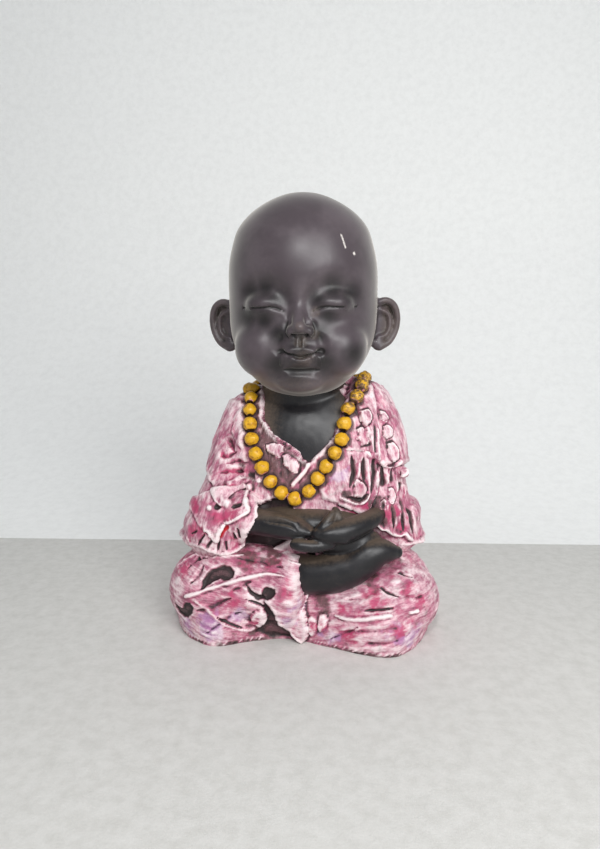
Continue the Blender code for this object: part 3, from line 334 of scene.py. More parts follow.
class Carving:
    """One closed skin in units, which tools move along its normals and brushes paint."""

    def __init__(self, clay: Clay, voxel: float, rounds: int = 4) -> None:
        """Merges clay into a skin.

        Args:
            clay: the clay to merge; it is used up.
            voxel: the grain of the skin, in units.
            rounds: how often its steps are smoothed out.
        """
        mesh = clay.merged(voxel)
        self.points = np.empty(len(mesh.vertices) * 3)
        mesh.vertices.foreach_get("co", self.points)
        self.points = self.points.reshape(-1, 3)
        self.faces = [tuple(p.vertices) for p in mesh.polygons]
        self.edges = np.empty(len(mesh.edges) * 2, int)
        mesh.edges.foreach_get("vertices", self.edges)
        self.edges = self.edges.reshape(-1, 2)
        self.quads = np.array([f if len(f) == 4 else f + f[-1:] for f in self.faces])
        self.voxel = voxel
        self.paint = {paint: np.zeros(len(self.points)) for paint in Paint}
        bpy.data.meshes.remove(mesh)
        self.count = np.bincount(self.edges.ravel(), minlength=len(self.points))[:, None]
        self.relax(rounds)
        self.refresh()

    def relax(self, rounds: int) -> None:
        """Takes out steps without shrinking the forms."""
        for _ in range(rounds):
            self.points += SHRINK * self.step()
            self.points -= SWELL * self.step()

    def step(self, places: Optional[np.ndarray] = None) -> np.ndarray:
        """How far each point is from the middle of its neighbours."""
        places = self.points if places is None else places
        a, b = self.edges.T
        total = np.zeros_like(places)
        for k in range(places.shape[1]):
            total[:, k] = np.bincount(a, places[b, k], len(places))
            total[:, k] += np.bincount(b, places[a, k], len(places))
        return total / self.count - places

    def refresh(self) -> None:
        """Works out the normals and a search tree of the skin as it is now."""
        q = self.points[self.quads]
        face_normals = np.cross(q[:, 2] - q[:, 0], q[:, 3] - q[:, 1])
        self.normals = np.zeros_like(self.points)
        for k in range(4):
            np.add.at(self.normals, self.quads[:, k], face_normals)
        self.normals /= np.maximum(np.linalg.norm(self.normals, axis=1), 1e-12)[:, None]
        self.tree = BVHTree.FromPolygons([Vector(p) for p in self.points], self.faces)
        self.rest = self.points.copy()  # tools are placed on the skin as it is now

    def soften(self, reach: float, where: Optional[np.ndarray] = None) -> None:
        """Melts creases.

        Args:
            reach: how far forms melt into each other, in units.
            where: the share of it for each point, all of it where left out.
        """
        share = np.ones(len(self.points)) if where is None else where.astype(float)
        for _ in range(max(1, round((reach / self.voxel) ** 2))):
            self.points += SHRINK * share[:, None] * self.step()
        self.refresh()

    def hit(self, start: Row, direction: Row) -> Optional[Vector]:
        """Where a ray first meets the skin, or None."""
        return self.tree.ray_cast(Vector(start), Vector(direction))[0]

    def front(self, path: Path, foremost: bool = True) -> np.ndarray:
        """Lays a path on the skin, seen from the front.

        Args:
            path: rows of (x, z).
            foremost: whether it keeps to the upper layer beside a step.

        Returns:
            Its points on the skin.
        """
        laid = [self.hit((x, -AFAR, z), BACKWARDS) for x, z in smooth_rows(path, 5)]
        laid = np.array([p for p in laid if p is not None])
        if len(laid) and foremost:
            near = np.pad(laid[:, 1], 2, mode="edge")
            upper = np.min([near[k : k + len(laid)] for k in range(5)], axis=0)
            fallen = laid[:, 1] - upper > STEP
            laid[fallen, 1] = upper[fallen]
        return laid

    def around(self, path: Path) -> np.ndarray:
        """Lays a path of (degrees from the front, z) on the skin, seen from all round."""
        laid = []
        for degrees, z in smooth_rows(path, 5):
            a = math.radians(degrees)
            out = Vector((math.sin(a), -math.cos(a), 0))
            laid.append(self.hit(Vector((0, 0, z)) + out * AFAR, -out))
        return np.array([p for p in laid if p is not None])

    def brush(
        self, near: np.ndarray, share: np.ndarray, height: float, paint: Optional[Paint], coat: float = 1.0
    ) -> None:
        """Moves chosen points along their normals and paints them by the same share.

        Args:
            near: which points.
            share: how fully the tool reaches each of them.
            height: how far it moves them.
            paint: a paint that is laid on over what was there.
            coat: how thick that paint is, from 0 to 1.
        """
        self.points[near] += self.normals[near] * (share * height)[:, None]
        if paint:
            for under in LAID_ON if paint in LAID_ON else ():
                self.paint[under][near] *= 1 - share
            self.paint[paint][near] = np.maximum(self.paint[paint][near], share * coat)

    def stroke(
        self,
        path: np.ndarray,
        width: float,
        height: float = 0.0,
        flat: float = 0.0,
        taper: float = 0.25,
        paint: Optional[Paint] = None,
        coat: float = 1.0,
    ) -> None:
        """Raises or sinks a band.

        Args:
            path: points on the skin, from front() or around().
            width: half the band's width, in units.
            height: how far it is raised; negative sinks it.
            flat: the share of its width that is level.
            taper: the share of its length over which each end thins out.
            paint: a paint that is laid on with the same soft edge.
            coat: how thick that paint is, from 0 to 1.
        """
        if len(path) < 2:
            return
        reach = np.ptp(path, axis=0) / 2 + width + 1
        middle = (path.max(axis=0) + path.min(axis=0)) / 2
        near = np.flatnonzero(np.all(np.abs(self.rest - middle) < reach, axis=1))
        gap, along = closest_on_path(self.rest[near], path)
        wide = width * (ease(np.minimum(along, 1 - along) / taper * 0.75 + 0.25) if taper else 1.0)
        self.brush(near, 1 - ease((gap / wide - flat) / (1 - flat)), height, paint, coat)

    def crest(
        self, path: np.ndarray, width: float, height: float, worn: float, coat: float,
        flat: float = 0.0, taper: float = 0.25,
    ) -> None:
        """Raises an edge and leaves the dry brush's white along its crest.

        Args:
            path: points on the skin, from front() or around().
            width: half the edge's width, in units.
            height: how far it is raised.
            worn: the share of that width that the brush has caught.
            coat: how thick the white is, from 0 to 1.
            flat: the share of its width that is level.
            taper: the share of its length over which each end thins out.
        """
        self.stroke(path, width, height, flat, taper)
        self.stroke(path, width * worn, taper=taper, paint=Paint.WHITE, coat=coat)

    def draw(self, path: Path, width: float, height: float = 0.0, **how: object) -> None:
        """Strokes a path of (x, z) that is laid on from the front."""
        self.stroke(self.front(path), width, height, **how)

    def draw_round(self, path: Path, width: float, height: float = 0.0, **how: object) -> None:
        """Strokes a path of (degrees from the front, z) that is laid on from all round."""
        self.stroke(self.around(path), width, height, **how)

    def dab(
        self, x: float, z: float, radius: float, height: float, paint: Optional[
            Paint
        ] = None, coat: float = 1.0
    ) -> None:
        """Raises or sinks a round spot on the front.

        Args:
            x: its place from side to side.
            z: its height over the underside.
            radius: its radius, in units, of which half is level.
            height: how far it is raised; negative sinks it.
            paint: a paint that is laid on with the same soft edge.
            coat: how thick that paint is, from 0 to 1.
        """
        spot = self.hit((x, -AFAR, z), BACKWARDS)
        if spot is None:
            return
        gap = np.linalg.norm(self.rest - np.array(spot), axis=1)
        near = np.flatnonzero(gap < radius * 1.4)
        self.brush(near, 1 - ease((gap[near] / radius - 0.55) / 0.75), height, paint, coat)

    def panel(
        self,
        outline: Path,
        height: float,
        edge: float = 0.8,
        turned: bool = False,
        paint: Optional[Paint] = None,
        coat: float = 1.0,
        fade: Optional[Row] = None,
    ) -> None:
        """Raises or sinks the skin inside an outline.

        Args:
            outline: corners (x, z) on the front, or (degrees from the front, z).
            height: how far it is raised; negative sinks it.
            edge: the width of its slope, in units.
            turned: whether the outline is in degrees from the front.
            paint: a paint that is laid on inside it.
            coat: how thick that paint is, from 0 to 1.
            fade: x0, z0, x1, z1, from where it has no height to where it has all of it.
        """
        corners = np.array(outline, float)
        flat = self.rest[:, [0, 2]]
        facing = np.clip(-self.normals[:, 1] / 0.3, 0, 1)
        if turned:
            degrees = np.degrees(np.arctan2(flat[:, 0], -self.rest[:, 1]))
            flat = np.stack([(degrees % 360) * ARC, flat[:, 1]], axis=1)
            corners[:, 0] *= ARC
            facing = np.ones(len(flat))
        box = np.all((flat > corners.min(axis=0) - 2) & (flat < corners.max(axis=0) + 2), axis=1)
        near = np.flatnonzero(box & (facing > 0))
        share = ease(inside_distance(flat[near], corners) / edge + 0.5) * facing[near]
        if fade:
            start, end = np.array(fade[:2]), np.array(fade[2:])
            share *= ease((flat[near] - start) @ (end - start) / ((end - start) @ (end - start)))
        self.brush(near, share, height, paint, coat)

    def cloud(
        self, x: float, z: float, radius: float, paint: Paint, coat: float = 1.0, ragged: float = 1.0,
    ) -> None:
        """Leaves a ragged, faded patch of paint on the front.

        Args:
            x: its middle from side to side.
            z: its middle over the underside.
            radius: how far it reaches, in units.
            paint: the paint.
            coat: how thick it is in the middle.
            ragged: how broken its rim is, from 0 to 1.
        """
        gap = np.hypot(self.rest[:, 0] - x, self.rest[:, 2] - z) / radius
        gap += ragged * (
            0.45 * lattice_noise(self.rest, radius * 0.5, 11) + 0.25 * lattice_noise(self.rest, 1.6, 12)
        )
        share = (1 - ease(gap)) * (self.normals[:, 1] < 0) * coat
        self.paint[paint] = np.maximum(self.paint[paint], share)

    def clouds(
        self, rows: Path, paint: Paint, coat: float = 1.0, grow: float = 1.0, ragged: float = 1.0,
    ) -> None:
        """Leaves several patches, from rows of x, z and radius; the radii are scaled by grow."""
        for x, z, radius in rows:
            self.cloud(x, z, radius * grow, paint, coat, ragged)

    def roughen(
        self, height: float, size: float, seed: int = 0, places: Optional[np.ndarray] = None,
    ) -> None:
        """Gives the skin lumps, as uneven casting and thick paint leave.

        Args:
            height: how far they rise and sink, in units.
            size: their width, in units.
            seed: picks another pattern.
            places: where each point reads the pattern, its own place where left out.
        """
        lumps = lattice_noise(self.points if places is None else places, size, seed)
        self.points += self.normals * (lumps * height)[:, None]

    def drop_hidden(self, others: Sequence["Carving"], depth: float = 1.4) -> None:
        """Leaves out the faces that lie inside other pieces.

        Args:
            others: the other pieces.
            depth: how deep under their skin a face has to lie, in units.
        """
        buried = np.zeros(len(self.points), bool)
        for other in others:
            low, high = other.points.min(axis=0), other.points.max(axis=0)
            for i in np.flatnonzero(np.all((self.points > low) & (self.points < high), axis=1) & ~buried):
                spot, normal, _, gap = other.tree.find_nearest(Vector(self.points[i]))
                buried[i] = gap > depth and (Vector(self.points[i]) - spot).dot(normal) < 0
        self.faces = [face for face in self.faces if not all(buried[i] for i in face)]

    def weather(self, fine: float = 1.2, coarse: float = 3.0) -> None:
        """Finds the ridges that a dry brush catches and the hollows, where the materials lay dark wash and
        painted shade.

        Args:
            fine: the reach of the small forms, in units.
            coarse: the reach of the large forms, in units.
        """
        self.refresh()
        places = self.points.copy()
        done = 0
        for reach in (fine, coarse):
            rounds = round((reach / self.voxel) ** 2)
            for _ in range(rounds - done):
                places += SHRINK * self.step(places)
            done = rounds
            lift = np.sum((self.points - places) * self.normals, axis=1) / reach
            self.paint[Paint.RAISED] = np.maximum(self.paint[Paint.RAISED], np.clip(lift / RELIEF, 0, 1))
            self.paint[Paint.SUNK] = np.maximum(self.paint[Paint.SUNK], np.clip(-lift / RELIEF, 0, 1))
        settled = 0.85 * ease((self.normals[:, 2] - 0.45) / 0.55)
        self.paint[Paint.DUST] = np.maximum(self.paint[Paint.DUST], settled)


# Nodes and colours


def linear(code: str) -> tuple[float, float, float, float]:
    """Turns an sRGB hex colour into the linear one that shaders take."""
    parts = [int(code[i : i + 2], 16) / 255 for i in (1, 3, 5)]
    bent = [p / 12.92 if p <= 0.04045 else ((p + 0.055) / 1.055) ** 2.4 for p in parts]
    return (*bent, 1.0)


class Finish:
    """A node material under construction."""

    def __init__(self, name: str) -> None:
        """Starts a material with only its shader and output."""
        self.material = bpy.data.materials.new(name)
        self.material.use_nodes = True
        self.nodes = self.material.node_tree.nodes
        self.shader = self.nodes["Principled BSDF"]

    def add(self, kind: str, settings: Optional[dict] = None, **inputs: object) -> bpy.types.Node:
        """Adds a node.

        Args:
            kind: the node's type name.
            settings: properties of the node.
            **inputs: values or output sockets for its inputs, by name or, as in_0, by place.

        Returns:
            The new node.
        """
        node = self.nodes.new(kind)
        for key, value in (settings or {}).items():
            setattr(node, key, value)
        for key, value in inputs.items():
            socket = node.inputs[int(key[3:])] if key.startswith("in_") else node.inputs[
                key.replace("_", " ")
            ]
            if isinstance(value, bpy.types.NodeSocket):
                self.material.node_tree.links.new(value, socket)
            else:
                socket.default_value = value
        return node

    def math(self, operation: str, a: object, b: object = 0.0, clamp: bool = False) -> bpy.types.NodeSocket:
        """A sum of two values or sockets, as an output socket."""
        return self.add(
            "ShaderNodeMath", {"operation": operation, "use_clamp": clamp}, in_0=a, in_1=b,
        ).outputs[0]

    def attribute(self, paint: Paint) -> bpy.types.NodeSocket:
        """How much of a paint the mesh carries."""
        return self.add("ShaderNodeAttribute", {"attribute_name": paint.value}).outputs["Fac"]

    def noise(
        self, size: float, detail: float = 4.0, rough: float = 0.6, shift: Row = (0, 0, 0),
    ) -> bpy.types.NodeSocket:
        """A noise in the object's own place.

        Args:
            size: the width of its lumps in millimetres.
            detail: how many finer layers it has.
            rough: how strong the finer layers are.
            shift: where in the pattern it starts, to tell equal noises apart.

        Returns:
            Its value socket.
        """
        place = self.add("ShaderNodeTexCoord").outputs["Object"]
        place = self.add("ShaderNodeMapping", Vector=place, Location=shift).outputs[0]
        settings = {"Scale": 1000 / size, "Detail": detail, "Roughness": rough}
        return self.add("ShaderNodeTexNoise", Vector=place, **settings).outputs[0]

    def streaks(self, size: float, detail: float = 4.0, rough: float = 0.65) -> bpy.types.NodeSocket:
        """A noise drawn out along the brush marks, as wide in millimetres as its size."""
        place = self.add("ShaderNodeAttribute", {"attribute_name": BRUSHED}).outputs["Vector"]
        settings = {"Scale": 1 / size, "Detail": detail, "Roughness": rough}
        return self.add("ShaderNodeTexNoise", Vector=place, **settings).outputs[0]

    def mixed(self, *terms: tuple) -> bpy.types.NodeSocket:
        """A weighted sum of values, each given with its weight."""
        total = self.math("MULTIPLY", *terms[0])
        for value, weight in terms[1:]:
            total = self.add(
                "ShaderNodeMath", {"operation": "MULTIPLY_ADD"}, in_0=value, in_1=weight, in_2=total,
            ).outputs[0]
        return total

    def ramp(self, value: object, low: float, high: float) -> bpy.types.NodeSocket:
        """A smooth step of a value between two limits."""
        settings = {"interpolation_type": "SMOOTHSTEP"}
        return self.add("ShaderNodeMapRange", settings, Value=value, From_Min=low, From_Max=high).outputs[0]

    def blend(self, share: object, under: object, over: object) -> bpy.types.NodeSocket:
        """One colour laid over another."""
        node = self.add("ShaderNodeMix", {"data_type": "RGBA"}, in_0=share, in_6=under, in_7=over)
        return node.outputs[2]

    def over(self, colour: object, code: str, share: object, strength: float = 1.0) -> bpy.types.NodeSocket:
        """Lays a paint over a colour.

        Args:
            colour: the colour under it.
            code: the paint's sRGB hex colour.
            share: where the paint lies, from 0 to 1.
            strength: how well it covers there.

        Returns:
            The colour with the paint on it.
        """
        if strength != 1.0:
            share = self.math("MULTIPLY", share, strength)
        return self.blend(share, colour, linear(code))

    def bump(self, height: object, depth_mm: float) -> None:
        """Gives the shader small relief."""
        node = self.add("ShaderNodeBump", Height=height, Strength=1.0, Distance=depth_mm / 1000)
        self.material.node_tree.links.new(node.outputs[0], self.shader.inputs["Normal"])

    def feed(self, **inputs: object) -> bpy.types.Material:
        """Fills the shader's sockets and gives the finished material."""
        for key, value in inputs.items():
            socket = self.shader.inputs[key.replace("_", " ")]
            if isinstance(value, bpy.types.NodeSocket):
                self.material.node_tree.links.new(value, socket)
            else:
                socket.default_value = value
        return self.material


@dataclass(frozen=True)
class SatinBlackResin:
    """Moulded polyester resin under one thin coat of black paint, worn to a satin."""

    name: str = "satin_black_resin"
    coat: str = "#443b40"  # thin coat, slightly purple
    worn: str = "#544b50"  # paler where it is rubbed
    deep: str = "#151113"  # painted shade in the hollows and where the carving is painted dark
    dust: str = "#85725f"  # settled dust, dull and brown
    chip: str = "#efe9e2"  # bare resin in the scratches
    roughness: float = 0.4
    dusty: float = 0.4  # how thick the dust lies
    bloom: float = 0.75  # pale bloom of fine dust, seen where the coat turns away

    def material(self) -> bpy.types.Material:
        """Builds the material."""
        f = Finish(self.name)
        cloud = f.noise(16.0, detail=3.0)
        grain = f.noise(0.6, rough=0.7)
        sunk, raised = f.attribute(Paint.SUNK), f.attribute(Paint.RAISED)
        colour = f.blend(
            f.ramp(f.mixed((cloud, 1.0), (raised, 0.12)), 0.38, 0.72), linear(self.coat), linear(self.worn),
        )
        # painted shade: darker in the hollows and in the places painted dark round the features
        deep = f.mixed((f.ramp(sunk, 0.10, 0.7), 0.8), (f.attribute(Paint.DARK), 0.95))
        colour = f.over(colour, self.deep, deep)
        veil = f.mixed(
            (f.attribute(Paint.DUST), 1.0), (f.noise(1.2, detail=7.0, rough=0.75), 1.1), (cloud, 0.5),
        )
        veil = f.math("MULTIPLY", f.ramp(veil, 0.80, 1.9), self.dusty, clamp=True)
        colour = f.over(colour, self.dust, veil)
        specks = f.ramp(f.noise(0.8, detail=3.0), 0.66, 0.76)
        colour = f.over(colour, self.dust, specks, self.dusty * 0.5)
        colour = f.over(colour, self.chip, f.attribute(Paint.CHIP))
        f.bump(grain, 0.02)
        rough = f.mixed((veil, 0.4), (grain, 0.14), (sunk, 0.15), (self.roughness - 0.07, 1.0))
        f.feed(Sheen_Weight=self.bloom, Sheen_Roughness=0.36, Sheen_Tint=linear("#ece8df"))
        return f.feed(Base_Color=colour, Roughness=rough, IOR=1.5)


@dataclass(frozen=True)
class DryBrushedCloth:
    """Resin cloth painted pink, washed dark in its hollows with painted shade added there, and dry-brushed
    white on its ridges.
    """

    name: str
    rose: str = "#d0829a"
    dusky: str = "#a0546f"
    magenta: str = "#b9235c"
    red: str = "#b8101f"
    lilac: str = "#b088b6"
    bare: str = "#5e4a48"  # grey-brown ground that the pink doesn't cover
    shade: str = "#1c1415"  # black wash left in the hollows, with painted shade there, under overhangs and round the beads
    white: str = "#fbeeee"
    roughness: float = 0.55

    def pinks(self, f: Finish, tone: bpy.types.NodeSocket) -> bpy.types.NodeSocket:
        """The coats of pink, magenta and lilac over the grey-brown ground."""
        patch = f.noise(7.0, detail=5.0, shift=(0.3, 0.1, 0.2))
        colour = f.blend(f.ramp(tone, 0.32, 0.68), linear(self.dusky), linear(self.rose))
        hot = f.mixed(
            (patch, 1.1), (tone, 0.5), (f.attribute(Paint.PINK), 0.32), (f.attribute(Paint.SUNK), 0.10),
        )
        colour = f.over(colour, self.magenta, f.ramp(hot, 0.82, 1.14), 0.7)
        violet = f.mixed((f.attribute(Paint.VIOLET), 0.6), (f.noise(9.0, detail=5.0), 0.8), (tone, 0.3))
        colour = f.over(colour, self.lilac, f.ramp(violet, 0.68, 1.10), 0.7)
        ground = f.mixed((f.noise(3.6, detail=7.0, rough=0.72), 1.0), (f.attribute(Paint.DARK), 0.5))
        return f.over(colour, self.bare, f.ramp(ground, 0.50, 0.76), 0.85)

    def material(self) -> bpy.types.Material:
        """Builds the material."""
        f = Finish(self.name)
        tone = f.streaks(2.6, detail=5.0)
        hairs = f.streaks(0.8, rough=0.7)
        grain = f.noise(0.5, detail=3.0, rough=0.7)
        cloud = f.noise(8.0, detail=4.0, shift=(0.7, 0.4, 0.1))
        sunk, raised = f.attribute(Paint.SUNK), f.attribute(Paint.RAISED)
        dark, white, pink, red = (f.attribute(p) for p in (Paint.DARK, Paint.WHITE, Paint.PINK, Paint.RED))
        colour = self.pinks(f, tone)
        haze = f.mixed(
            (cloud, 1.2), (tone, 0.9), (hairs, 0.8), (raised, 0.35), (sunk, -0.4), (dark, -0.7),
            (pink, -0.3),
        )
        wiped = f.mixed(
            (raised, 0.28), (white, 0.62), (hairs, 0.9), (grain, 0.4), (tone, 0.6), (sunk, -0.4),
            (dark, -0.8), (pink, -0.3)
        )
        wiped = f.math("MULTIPLY", f.ramp(wiped, 0.90, 1.50), 0.9)
        wiped = f.math("MAXIMUM", wiped, f.math("MULTIPLY", f.ramp(haze, 1.20, 1.90), 0.82))
        laid_on = f.ramp(f.mixed((white, 1.0), (hairs, 0.2)), 0.58, 0.92)
        wiped = f.math("MAXIMUM", wiped, f.math("MULTIPLY", laid_on, 0.92))
        colour = f.over(colour, self.white, wiped)
        colour = f.over(colour, self.red, red)
        # dark wash and painted shade: darker in the hollows and where painted dark, lighter where white
        wash_and_shade = f.mixed((sunk, 0.9), (dark, 0.55), (hairs, -0.7), (grain, 0.6), (white, -0.6), (red, -0.5))
        wash_and_shade = f.ramp(wash_and_shade, 0.12, 0.72)
        colour = f.over(colour, self.shade, wash_and_shade, 0.9)
        specks = f.ramp(f.mixed((grain, 1.0), (white, -0.2)), 0.58, 0.72)
        colour = f.over(colour, self.shade, specks, 0.45)
        f.bump(f.mixed((hairs, 0.6), (grain, 0.4)), 0.22)
        rough = f.mixed((wiped, 0.16), (grain, 0.2), (self.roughness - 0.12, 1.0))
        return f.feed(Base_Color=colour, Roughness=rough, IOR=1.5)


@dataclass(frozen=True)
class YellowBeadPaint:
    """Resin beads under a thick, glossy coat of yellow, with dark specks, stray pink where they meet, and
    painted shade where they meet each other and the cloth.
    """

    name: str = "yellow_bead_paint"
    coat: str = "#dba722"
    # darker orange where the coat is thin, and painted shade in the hollows
    thin_coat_and_shade: str = "#a97018"
    # dark specks of dirt, and painted shade where the beads meet each other and the cloth
    dirt_and_shade: str = "#33200f"
    stray: str = "#e08fa0"
    roughness: float = 0.36

    def material(self) -> bpy.types.Material:
        """Builds the material."""
        f = Finish(self.name)
        cloud = f.noise(2.6, detail=4.0)
        grain = f.noise(0.6, detail=3.0)
        sunk, dark = f.attribute(Paint.SUNK), f.attribute(Paint.DARK)
        # thin coat at random, and painted shade in the hollows
        thin_coat_and_shade = f.ramp(f.mixed((cloud, 1.0), (sunk, 0.5)), 0.50, 0.72)
        colour = f.blend(thin_coat_and_shade, linear(self.coat), linear(self.thin_coat_and_shade))
        colour = f.over(colour, self.stray, f.ramp(f.attribute(Paint.PINK), 0.3, 0.8))
        # painted shade where the beads meet and face the cloth, with dirt specks
        dirt_and_shade = f.ramp(f.mixed((dark, 1.0), (grain, 0.5), (sunk, 0.3)), 0.70, 1.05)
        colour = f.over(colour, self.dirt_and_shade, dirt_and_shade)
        specks = f.ramp(f.noise(0.9, detail=2.0), 0.64, 0.72)
        colour = f.over(colour, self.dirt_and_shade, specks, 0.7)
        grimy = f.math("MULTIPLY", f.attribute(Paint.DUST), f.ramp(f.noise(1.4, detail=4.0), 0.40, 0.60))
        colour = f.over(colour, "#6b5138", grimy)
        f.bump(grain, 0.08)
        rough = f.mixed((cloud, 0.2), (grimy, 0.3), (self.roughness - 0.1, 1.0))
        return f.feed(Base_Color=colour, Roughness=rough, IOR=1.5)


# The sub-assemblies


@dataclass
class SubAssembly:
    """A part of the figure that is modelled, painted and shown as one piece."""

    name: str = "piece"
    voxel: float = 0.62  # grain of its skin, in units

    def model(self) -> Carving:
        """Models and carves it."""
        raise NotImplementedError

    def finish(self) -> bpy.types.Material:
        """Builds its material."""
        raise NotImplementedError

    def brushed(self, points: np.ndarray) -> np.ndarray:
        """Each point's place along (shortened) and across the brush marks, in units."""
        return points

    def show(self, carving: Carving, move: np.ndarray, scale: float) -> bpy.types.Object:
        """Puts it in the scene, riding on the frame in place of its part of the casting.

        Args:
            carving: its carved and painted skin.
            move: the shift from the modelling place to the frame, in units.
            scale: metres per unit.

        Returns:
            The new object.
        """
        points = carving.points.copy()
        points[:, 2] = np.maximum(points[:, 2], 0)
        used = np.unique([i for face in carving.faces for i in face])
        place = np.zeros(len(points), int)
        place[used] = np.arange(len(used))
        faces = [tuple(int(place[i]) for i in face) for face in carving.faces]
        mesh = bpy.data.meshes.new(self.name)
        mesh.from_pydata(((points[used] + move) * scale).tolist(), [], faces)
        for paint in Paint:
            if carving.paint[paint].any():
                layer = mesh.attributes.new(paint.value, "FLOAT", "POINT")
                layer.data.foreach_set("value", carving.paint[paint][used].astype(np.float32))
        layer = mesh.attributes.new(BRUSHED, "FLOAT_VECTOR", "POINT")
        layer.data.foreach_set("vector", self.brushed(points[used]).astype(np.float32).ravel())
        mesh.materials.append(self.finish())
        mesh.shade_smooth()
        piece = bpy.data.objects.new(self.name, mesh)
        bpy.context.scene.collection.objects.link(piece)
        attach(piece, BODY)
        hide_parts(NODE)
        log.info("%s: %d triangles", self.name, sum(len(face) - 2 for face in faces))
        return piece


@dataclass
class Head(SubAssembly):
    """The bald head of a sleeping child, with its face and both ears."""

    name: str = "head"
    voxel: float = 0.6
    sections: Path = (  # z, middle x, half width, front y, back y
        (110.0, 0, 3.0, -21.0, -14.0),
        (112.0, 0, 13.5, -27.0, 3.0),
        (115.5, 0, 19.5, -31.0, 11.0),
        (120.5, 0, 25.0, -34.2, 17.0),
        (126.0, 0, 28.8, -35.8, 22.0),
        (133.0, 0, 31.8, -36.4, 26.5),
        (141.0, 0, 33.6, -36.2, 30.5),
        (150.0, 0, 34.0, -36.2, 33.5),
        (160.0, 0, 34.2, -37.2, 35.0),
        (169.0, 0, 33.8, -37.0, 34.8),
        (177.0, 0, 32.0, -35.2, 32.6),
        (184.0, 0, 29.6, -31.8, 28.6),
        (190.5, 0, 24.0, -26.6, 22.6),
        (195.5, 0, 16.6, -20.0, 15.6),
        (198.8, 0, 9.0, -12.4, 8.0),
        (200.0, 0, 3.0, -5.2, 0.8),
    )
    eye_z: float = 148.0
    # x, z from eye_z
    lash_line: Path = ((6.2, -0.8), (8.4, 0.3), (11.6, 0.8), (16.6, 0.4), (22.0, 0.6), (24.6, 1.1))
    middle: float = 0.8  # the nose and mouth sit a little to the viewer's right
    smile: Path = (
        (-8.2, 131.0), (-5.4, 129.4), (-3.4, 129.1), (-0.2, 128.4), (2.8, 128.9), (5.2, 129.3),
        (8.4, 130.9),
    )
    dusty_spots: Path = (
        (6.6, 146.8, 2.6), (0.8, 141.5, 2.4), (1.0, 134.6, 3.4), (6.6, 137.6, 2.6), (2.5, 128.6, 4.5),
    )
    painted_shade_spots: Path = (  # x, z, radius of the painted shade in the sockets and round the nose and mouth
        (-9, 152.5, 5), (8, 152.5, 5), (-21, 155.5, 6), (-14, 156.5, 6), (14, 156.5, 6), (21.5, 155, 6),
        (-8.5, 138, 5),
        (8.5, 139, 5), (0.4, 133, 6), (-1, 122.5, 8), (-9, 125, 6), (10, 126, 6.5), (23, 130, 5),
        (-22, 145, 6),
        (-14.5, 144, 6), (12, 145, 4.5),
    )
    chin_z: float = 117.2
    ear_z: float = 141.5
    ear_tilt: float = 18.0  # degrees that an ear stands out from the head
    lean: float = 0.5  # degrees that the head leans to its own right

    def broad_forms(self, clay: Clay) -> None:
        """Adds the skull, cheeks, lids, muzzle and chin."""
        clay.loft(self.sections, power=2.1)
        for s in (-1, 1):
            clay.ball((s * 15.8, -21.6, 131.8), (13.4, 14.6, 13.8))
            clay.ball((s * 14.4, -29.8, 151.0), (9.0, 6.5, 5.8), (0, 0, s * 14))
        clay.ball((0, -33.2, 129.4), (9.4, 5.0, 7.4))
        clay.ball((0, -29.4, self.chin_z), (10.8, 5.8, 4.8))

    def hollows(self, head: Carving) -> None:
        """Sinks the sockets, the sides of the nose and the line under each eye."""
        for s in (-1, 1):
            brow = [(s * 3.4, 149), (s * 6.0, 154.6), (s * 13.5, 157.8), (s * 20, 156.8), (s * 24, 153)]
            head.draw(brow, 7.5, -2.4, taper=0.4)
            head.draw([(s * 4.6, 153), (s * 5.6, 148), (s * 8.0, 143.5)], 4.0, -1.9, taper=0.3)
            head.draw([(s * 7.2, 144.8), (s * 14.5, 142.6), (s * 22.5, 145.0)], 4.4, -0.5, taper=0.4)
        head.soften(3.6)

    def nose_and_lips(self, clay: Clay) -> None:
        """Adds the small raised forms in the middle of the face."""
        clay.limb(
            [(0, -33.2, 153, 2.6, 1.6), (0, -34.6, 148, 2.3, 2.2), (0, -38.0, 142.8, 2.6, 2.4)],
            up=(0, 1, 0),
        )
        m = self.middle
        clay.ball((m, -39.4, 140.6), (3.0, 3.3, 2.8))
        for s in (-1, 1):
            clay.ball((m + s * 4.0, -37.0, 138.9), (2.4, 3.0, 2.4))
            clay.ball((m + s * 3.2, -36.6, 131.2), (4.2, 2.4, 1.6), (0, s * 10, 0))
        clay.ball((m, -36.2, 126.7), (5.2, 2.6, 1.6))

    def ear(self, clay: Clay, side: Side) -> None:
        """Adds a standing ear: a thin shell, its rolled rim, the inner fold and the lobe."""
        s = side.value
        middle = Vector((s * 37.3, 1.0, self.ear_z))
        turn = Euler((0, 0, math.radians(s * self.ear_tilt))).to_matrix()
        level = (0, 0, s * self.ear_tilt)

        def place(out: float, deep: float, up: float) -> Row:
            """A place of the ear: outwards, backwards and up from its middle."""
            return tuple(middle + turn @ Vector((s * out, deep, up)))

        clay.ball(place(-2.2, 1.6, 0.4), (8.2, 2.4, 11.2), level)
        clay.ball(place(-2.0, 1.0, 6.6), (5.4, 2.2, 4.6), level)
        rim = [
            (-4.6, -1.2, 9.6),
            (0.2, -1.8, 10.8),
            (4.2, -1.6, 8.6),
            (6.0, -1.2, 3.6),
            (5.4, -1.0, -2.4),
            (2.4, -1.0, -7.8),
            (-2.6, -1.2, -10.8),
        ]
        clay.limb([(*place(*p), 1.6, 1.9) for p in rim], up=(0, 1, 0.01))
        fold = [
            (-2.4, -0.9, 6.8), (1.6, -0.8, 4.6), (2.6, -0.8, -0.6), (0.8, -0.8, -4.8), (-3.2, -0.9, -6.2),
        ]
        clay.limb([(*place(*p), 1.1, 1.5) for p in fold], up=(0, 1, 0.01))
        clay.ball(place(-2.6, -0.6, -9.2), (3.6, 2.2, 3.0), level)

